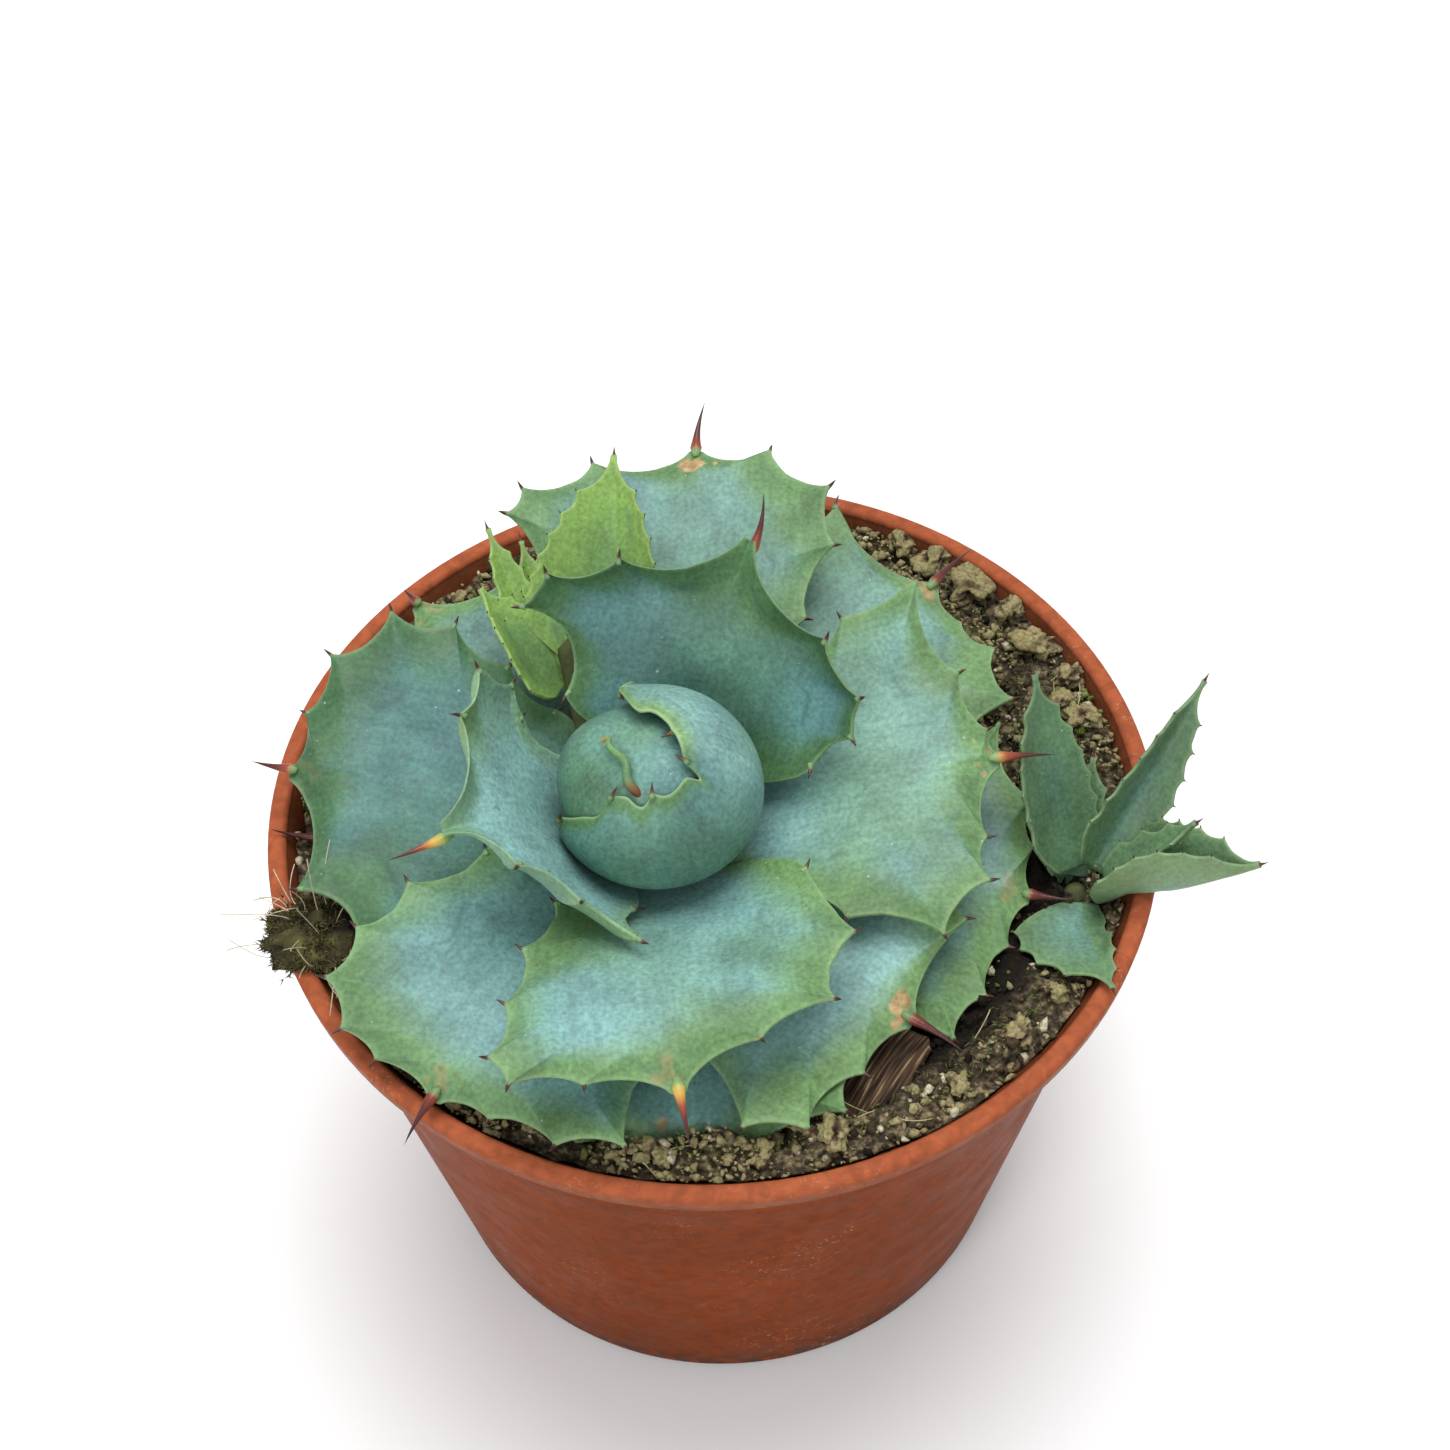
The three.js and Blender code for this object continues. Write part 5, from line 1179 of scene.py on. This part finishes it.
class Ground:
    """The frame's mix, with the leaves that stand over it."""

    def __init__(self, plant):
        self.mix = tree_of(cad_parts["soil"])
        self.leaves = tree_of(*(piece for piece in plant if "stem" not in piece.name))

    def base(self, x, y):
        """Top of the frame's mix."""
        return height_on(self.mix, x, y, SOIL_TOP)

    def leaf_over(self, x, y, z=UNDER_LEAVES):
        """Height in millimetres of the first leaf above a spot."""
        hit = self.leaves.ray_cast(Vector((x, y, z)) * MM, Vector((0, 0, 1)))[3]
        return math.inf if hit is None else z + hit / MM

    def top(self, x, y):
        """Top of the crumbly mix: the frame's, heaped toward the wall, kept under the leaves."""
        away = math.hypot(x, y)
        turn = math.degrees(math.atan2(y, x))
        heaped = HEAP["all round"] * smooth((away - 36) / 14)
        behind = bump(turn - HEAP["azimuth"], HEAP["half"])
        heaped += HEAP["behind"] * smooth((away - 34) / 10) * behind
        return min(self.base(x, y) + heaped, self.leaf_over(x, y) - LEAF_GAP)


def inside_wall(points):
    """Keeps spots of the mix just inside the pot, whose wall widens under its lip."""
    above = points[..., 2] - COLLAR_FOOT
    room = SOIL_RADIUS + 0.6 * np.clip((above - 1) / 7, 0, 1)
    room = room + 2.1 * np.clip((above - 8) / 2.8, 0, 1)
    away = np.maximum(np.hypot(points[..., 0], points[..., 1]), 0.1)
    return toward_axis(points, np.minimum(1, room / away))


def bare_and_shaded(x, y):
    """Where the mix is bare and painted dark as shade, from 0 to 1: inward of the lip, front right.
    """
    away = np.hypot(x, y)
    return smooth((51.5 - away) / 4) * smooth((6 - y) / 12) * smooth((x + 5) / 15)


def make_mix(ground):
    """The mix's crumbly top and its hidden sides."""
    turns = all_round(MIX_SPOKES)
    radii = np.concatenate([[0.5, 8], np.linspace(16, SOIL_RADIUS + 2.7, MIX_RINGS)])
    points = round_axis(radii[:, None], turns)
    height = np.array([[ground.top(x, y) for x, y, _ in ring] for ring in points])
    points[..., 2] = height + 0.8 * layered(points, 2.6, 4, 3) - 0.6
    points = inside_wall(points)
    walls = [
        (SOIL_RADIUS, COLLAR_FOOT + COLLAR_STEP + 0.6),
        (SOIL_RADIUS - COLLAR_STEP, COLLAR_FOOT - 0.4),
        (FOOT_RADIUS - WALL - 0.4, FLOOR_THICK + 0.4), (1.0, FLOOR_THICK + 0.4),
    ]
    hidden = [round_axis(radius, turns, z) for radius, z in walls]
    points = np.concatenate([points, hidden])
    build = Build()
    # Painted shade: the mix is tinted near black where it is bare at the front right
    dark = bare_and_shaded(points[..., 0], points[..., 1])
    build.grid(points, wrap=True, caps=True, hue=0.0, is_crumb=dark)
    return place(build.object("growing_mix", mix_material()), "mix", "soil")


def crumb_shape(random, ball, size):
    """A rough lump made of a ball's points."""
    lump = ball * (1 + 0.9 * (random.random((len(ball), 1)) - 0.5))
    lump = lump * size * np.array([1, 0.5 + 0.5 * random.random(), 0.35 + 0.5 * random.random()])
    turn = np.array(Matrix.Rotation(random.random() * 6.3, 3, Vector(unit(random.normal(size=3)))))
    return lump @ turn.T


def scatter_crumbs(ground):
    """Loose crumbs in heaps on the mix, with dark gaps between the heaps."""
    random = np.random.default_rng(12)
    away = np.sqrt(random.uniform(24 ** 2, (SOIL_RADIUS + 2.2) ** 2, CRUMBS))
    turn = random.uniform(0, 2 * math.pi, CRUMBS)
    spots = round_axis(away, turn)
    heaps = layered(spots, 6.5, 9, 2)
    mossy = noise(spots + 5, 8, 31) > 0.3
    ball, faces = icosphere(1)
    build = Build()
    for k in np.flatnonzero(heaps > random.uniform(-0.9, 0.15, CRUMBS)):
        x, y = spots[k, :2]
        z = ground.top(x, y)
        room = ground.leaf_over(x, y) - z
        # Where the mix is bare at the front right, crumbs are fewer, and darker as painted shade
        dark = bare_and_shaded(x, y)
        if room < CRUMB_ROOM or random.random() < 0.6 * dark:
            continue
        size = min(CRUMB_SIZE[0] + CRUMB_SIZE[1] * random.random() ** 4, room / 2)
        tone = 0.42 + 0.55 * heaps[k] + 0.22 * random.normal()
        # Painted light: crumbs toward the front are lighter, where the light falls
        tone = min(tone - 0.6 * dark + 0.2 * smooth((-38 - y) / 10), 0.57)
        hue = 0.78 + 0.1 * random.normal() if mossy[k] else tone
        if random.random() < 0.05 * (1 - dark):
            hue = 1.0
        up = z + 0.9 * max(0.0, heaps[k]) + size * 0.2 - 0.4
        crumb = crumb_shape(random, ball, size) + np.array([x, y, up])
        build.add(inside_wall(crumb), faces, hue=np.clip(hue, 0, 1), is_crumb=1.0)
    return place(build.object("mix_crumbs", mix_material()), "mix")


def pale_lumps(ground):
    """Larger pale clods that lie on the mix."""
    random = np.random.default_rng(21)
    ball, faces = icosphere(4)
    build = Build()
    for x, y, radius in CLODS:
        z = ground.top(x, y)
        seed = int(random.integers(0, 99))
        body = ball * CLOD_SHAPE @ about_z(random.uniform(0, 360)).T
        rough = 0.6 * layered(ball, 0.9, seed, 4) - 0.5 * np.abs(noise(ball, 0.4, seed + 9))
        body = body * radius * (1 + rough[:, None]) + np.array([x, y, z + 0.25 * radius])
        # Painted shade and light: a clod is darker in its hollows and lighter on its top, with a
        # random tone besides
        tone = 0.55 + 0.8 * rough + 0.3 * layered(body, 1.2, seed, 3) + 0.1 * ball[:, 2]
        build.add(inside_wall(body), faces, hue=np.clip(tone, 0, 0.6), is_crumb=1.0)
    return place(build.object("pale_clods", mix_material()), "mix")


# Moss and roots

def blades_of_moss(build, random, spots, heading, length, spread):
    """Short three-sided blades that stand on the spots."""
    corner = np.array([[1, 0, 0], [-0.5, 0.87, 0], [-0.5, -0.87, 0], [0, 0, 1]])
    faces = [[0, 1, 3], [1, 2, 3], [2, 0, 3], [2, 1, 0]]
    for spot in spots:
        way = unit(np.array(heading(spot), float) + spread * random.normal(size=3))
        tall = length * (0.5 + random.random())
        turn = Vector((0, 0, 1)).rotation_difference(Vector(way)).to_matrix()
        blade = (corner * np.array([MOSS_BLADE_RADIUS, MOSS_BLADE_RADIUS, tall])) @ np.array(turn).T
        hue = np.array([0.2, 0.2, 0.2, 0.95]) * (0.5 + 0.5 * random.random())
        build.add(blade + spot, faces, hue=hue)


def root_hair(build, random, start, way, curl):
    """A thin pale root that leaves its start one way and curls off."""
    share = np.linspace(0, 1, 12)[:, None]
    bend = curl * random.normal(size=3)
    path = start + way * share * random.uniform(3, 6) + bend * share ** 2
    build.tube(path, np.full(12, ROOT_HAIR_RADIUS), sides=4, hue=1.0)


def make_moss(ground):
    """Cushions of moss on the lumps of the mix."""
    random = np.random.default_rng(5)
    build = Build()
    spots = []
    for x, y, radius in MOSS_LUMPS:
        for _ in range(int(MOSS_DENSITY * radius ** 2)):
            away = radius * math.sqrt(random.random())
            turn = random.uniform(0, 2 * math.pi)
            spot = (x + away * math.cos(turn), y + away * math.sin(turn))
            if math.hypot(*spot) > SOIL_RADIUS - 1:
                continue
            z = ground.base(*spot)
            if ground.leaf_over(*spot, z - 3) > z + 2:
                spots.append(np.array([*spot, z - 0.3]))
    blades_of_moss(build, random, spots, lambda spot: (0, 0, 1), 1.1, 0.5)
    away = np.sqrt(random.uniform(26 ** 2, (SOIL_RADIUS - 1) ** 2, FIBRES))
    turn = random.uniform(0, 2 * math.pi, FIBRES)
    loose = []
    for x, y, _ in round_axis(away, turn):
        if random.random() > bare_and_shaded(x, y):
            loose.append(np.array([x, y, ground.top(x, y) + random.uniform(-0.3, 0.9)]))
    blades_of_moss(build, random, loose, lambda spot: (0, 0, 0.3), 0.7, 1.5)
    for _ in range(ROOT_HAIRS):
        away, turn = random.uniform(47, 54), random.uniform(0, 2 * math.pi)
        x, y, _ = round_axis(away, turn)
        way = unit(np.array([-y, x, 0]) / away + 0.8 * random.normal(size=3) * np.array([1, 1, 0]))
        root_hair(build, random, np.array([x, y, ground.top(x, y) + 0.7]), way, 0.8)
    material = moss_material("moss", (0.0, (0.045, 0.055, 0.012)), (0.4, (0.095, 0.155, 0.025)),
                             (0.7, (0.24, 0.27, 0.08)), (1.0, (0.45, 0.42, 0.22)))
    return place(build.object("moss_cushions", material, False), "moss")


def make_tuft():
    """The mossy clod over the lip: its frame body roughened, with moss and root hairs."""
    points, faces = refined("moss_tuft", 2)
    points = points + 1.1 * (points - TUFT_AT) / 6 * layered(points, 1.8, 2, 4)[:, None]
    build = Build()
    build.add(points, faces, hue=np.clip(0.25 + 0.35 * layered(points, 2, 6, 2), 0, 1))
    random = np.random.default_rng(8)
    upper = points[points[:, 2] > TUFT_AT[2] - 1.2]
    chosen = upper[random.integers(0, len(upper), TUFT_BLADES)]
    chosen = chosen[layered(chosen, 3.0, 4, 2) > -0.2]
    blades_of_moss(build, random, chosen, lambda spot: spot - TUFT_AT, 0.9, 4.5)
    for _ in range(TUFT_HAIRS):
        start = upper[random.integers(0, len(upper))]
        way = unit(start - TUFT_AT + np.array([-2, 0, 1.5]) + 2 * random.normal(size=3))
        root_hair(build, random, start, way, 2.0)
    material = moss_material("dark_moss", (0.0, (0.012, 0.009, 0.006)), (0.4, (0.06, 0.052, 0.02)),
                             (0.7, (0.17, 0.17, 0.05)), (1.0, (0.55, 0.47, 0.32)))
    return place(build.object("moss_clod", material, False), "moss", "moss_tuft")


def make_stone():
    """The frame's stone, rounded and roughened."""
    points, faces = refined("stone", 3, 0.6)
    build = Build()
    build.add(points + 0.1 * layered(points, 1.5, 3, 2)[:, None], faces)
    material = plain_material("stone", (0.06, 0.055, 0.05), (0.24, 0.23, 0.21), 1.2, 0.7, 0.15)
    return place(build.object("stone_rough", material), "stone", "stone")


# The plant

def make_stem(node, crown, stem, material):
    """A stem with a rounded top, in place of the frame's plain post."""
    foot, top, radius = stem
    share = np.linspace(0, 1, 24)
    height = foot + (top - foot) * share
    dome = np.sqrt(np.clip(1 - np.clip((height - top + radius) / radius, 0, 1) ** 2, 0.0, 1))
    path = on_crown(np.stack([0 * height, 0 * height, height], -1), crown)
    build = Build()
    build.tube(path, radius * np.maximum(dome, 0.05), sides=24)
    return place(build.object("plant_" + node, material), "stem", node)


def make_plant():
    leaf_skin = blade_material("leaf_skin", *LEAF_SKIN)
    offset_skin = blade_material("offset_skin", *OFFSET_SKIN)
    young_skin = blade_material("young_skin", *YOUNG_SKIN)
    dried_skin = dried_material()
    # Painted shade: the stems are coloured near black, as the shade at the base between the leaves
    shaded_stem_skin = plain_material("shaded_stem_skin", (0.035, 0.045, 0.018), (0.09, 0.10, 0.035), 2, 0.8, 0.1)
    made = []
    for number, (node, spec) in enumerate(LEAVES.items()):
        # A leaf's look carries painted shade: light for its whole skin, and the last value for a
        # band behind its margin
        young, scarred, tone, light, dusk = spec["look"]
        shape = {**MAIN_BLADE, **spec, "foot": TOP_FOOT - FOOT_STEP * number}
        made.append(make_leaf(node, MAIN_CROWN, shape, leaf_skin, "leaf", True, young, seed=number,
                              tone=tone, scarred=scarred, light=light, dusk=dusk))
    for node, spec in RIGHT_LEAVES.items():
        leaf = make_leaf(node, RIGHT_CROWN, offset_shape(*spec), offset_skin, "offset_leaf", False,
                         wave=0.06, seed=40, tone=0.1, light=RIGHT_PAINTED_SHADE.get(node, 1.0))
        made.append(rest_on_lip(leaf))
    for node, spec in BACK_LEAVES.items():
        # The back offset's leaves are darkened a little by painted shade
        leaf = make_leaf(node, BACK_CROWN, offset_shape(*spec), young_skin, "young_leaf", False,
                         wave=0.06, seed=50, tone=0.1, light=0.88)
        made.append(leaf)
    made.append(make_leaf("dried_leaf", DRIED_CROWN, DRIED_LEAF, dried_skin, "dried", False,
                          wave=0.5, seed=60))
    made.append(make_hood(leaf_skin))
    made.append(make_inner_bud(leaf_skin))
    made.append(make_stem("main_stem", MAIN_CROWN, MAIN_STEM, shaded_stem_skin))
    made.append(make_stem("right_stem", RIGHT_CROWN, OFFSET_STEM, shaded_stem_skin))
    made.append(make_stem("back_stem", BACK_CROWN, BACK_STEM, shaded_stem_skin))
    return made


# Floor, light and camera

def make_floor():
    mesh = bpy.data.meshes.new("floor")
    side = 4.0
    corners = [(-side, -side, 0), (side, -side, 0), (side, side, 0), (-side, side, 0)]
    mesh.from_pydata(corners, [], [(0, 1, 2, 3)])
    shader = Shader("floor_paper", roughness=0.9, specular=0.1)
    mesh.materials.append(shader.finish((0.95, 0.95, 0.95)))
    in_scene("floor", mesh)


def area_light(name, at, aim, size, power):
    light = bpy.data.lights.new(name, "AREA")
    light.shape = "DISK"
    light.size = size
    light.energy = power
    made = in_scene(name, light)
    made.location = at
    heading = Vector(aim) - Vector(at)
    made.rotation_euler = heading.to_track_quat("-Z", "Y").to_euler()


def make_lights():
    world = bpy.data.worlds.new("studio")
    bpy.context.scene.world = world
    world.use_nodes = True
    background = world.node_tree.nodes["Background"]
    background.inputs["Color"].default_value = (0.96, 0.98, 1.0, 1)
    background.inputs["Strength"].default_value = WORLD_STRENGTH
    area_light("overhead", (0.03, 0.22, 1.1), (0, 0, 0.07), 0.8, OVERHEAD_POWER)
    area_light("front", (-0.5, -0.9, 0.8), (0, 0, 0.07), 0.6, FRONT_POWER)


def make_camera():
    elevation = math.radians(CAMERA_ELEVATION)
    back = np.array([0, -math.cos(elevation), math.sin(elevation)])
    right = np.array([1.0, 0.0, 0.0])
    up = np.cross(back, right)
    cos, sin = math.cos(CAMERA_ROLL), math.sin(CAMERA_ROLL)
    turned = np.array([right * cos + up * sin, up * cos - right * sin, back]).T
    camera = bpy.data.cameras.new("camera")
    camera.sensor_width = SENSOR_WIDTH
    camera.lens = SENSOR_WIDTH * FOCAL_PIXELS / PICTURE_SIDE
    camera.clip_start = 0.01
    made = in_scene("camera", camera)
    at = Matrix.Translation(Vector((CAMERA_TARGET + back * CAMERA_DISTANCE) * MM))
    made.matrix_world = at @ Matrix(turned.tolist()).to_4x4()
    bpy.context.scene.camera = made


bpy.context.scene.view_settings.view_transform = "Standard"
plant = make_plant()
ground = Ground(plant)
make_pot()
make_mix(ground)
scatter_crumbs(ground)
pale_lumps(ground)
make_moss(ground)
make_tuft()
make_stone()
make_floor()
make_lights()
make_camera()
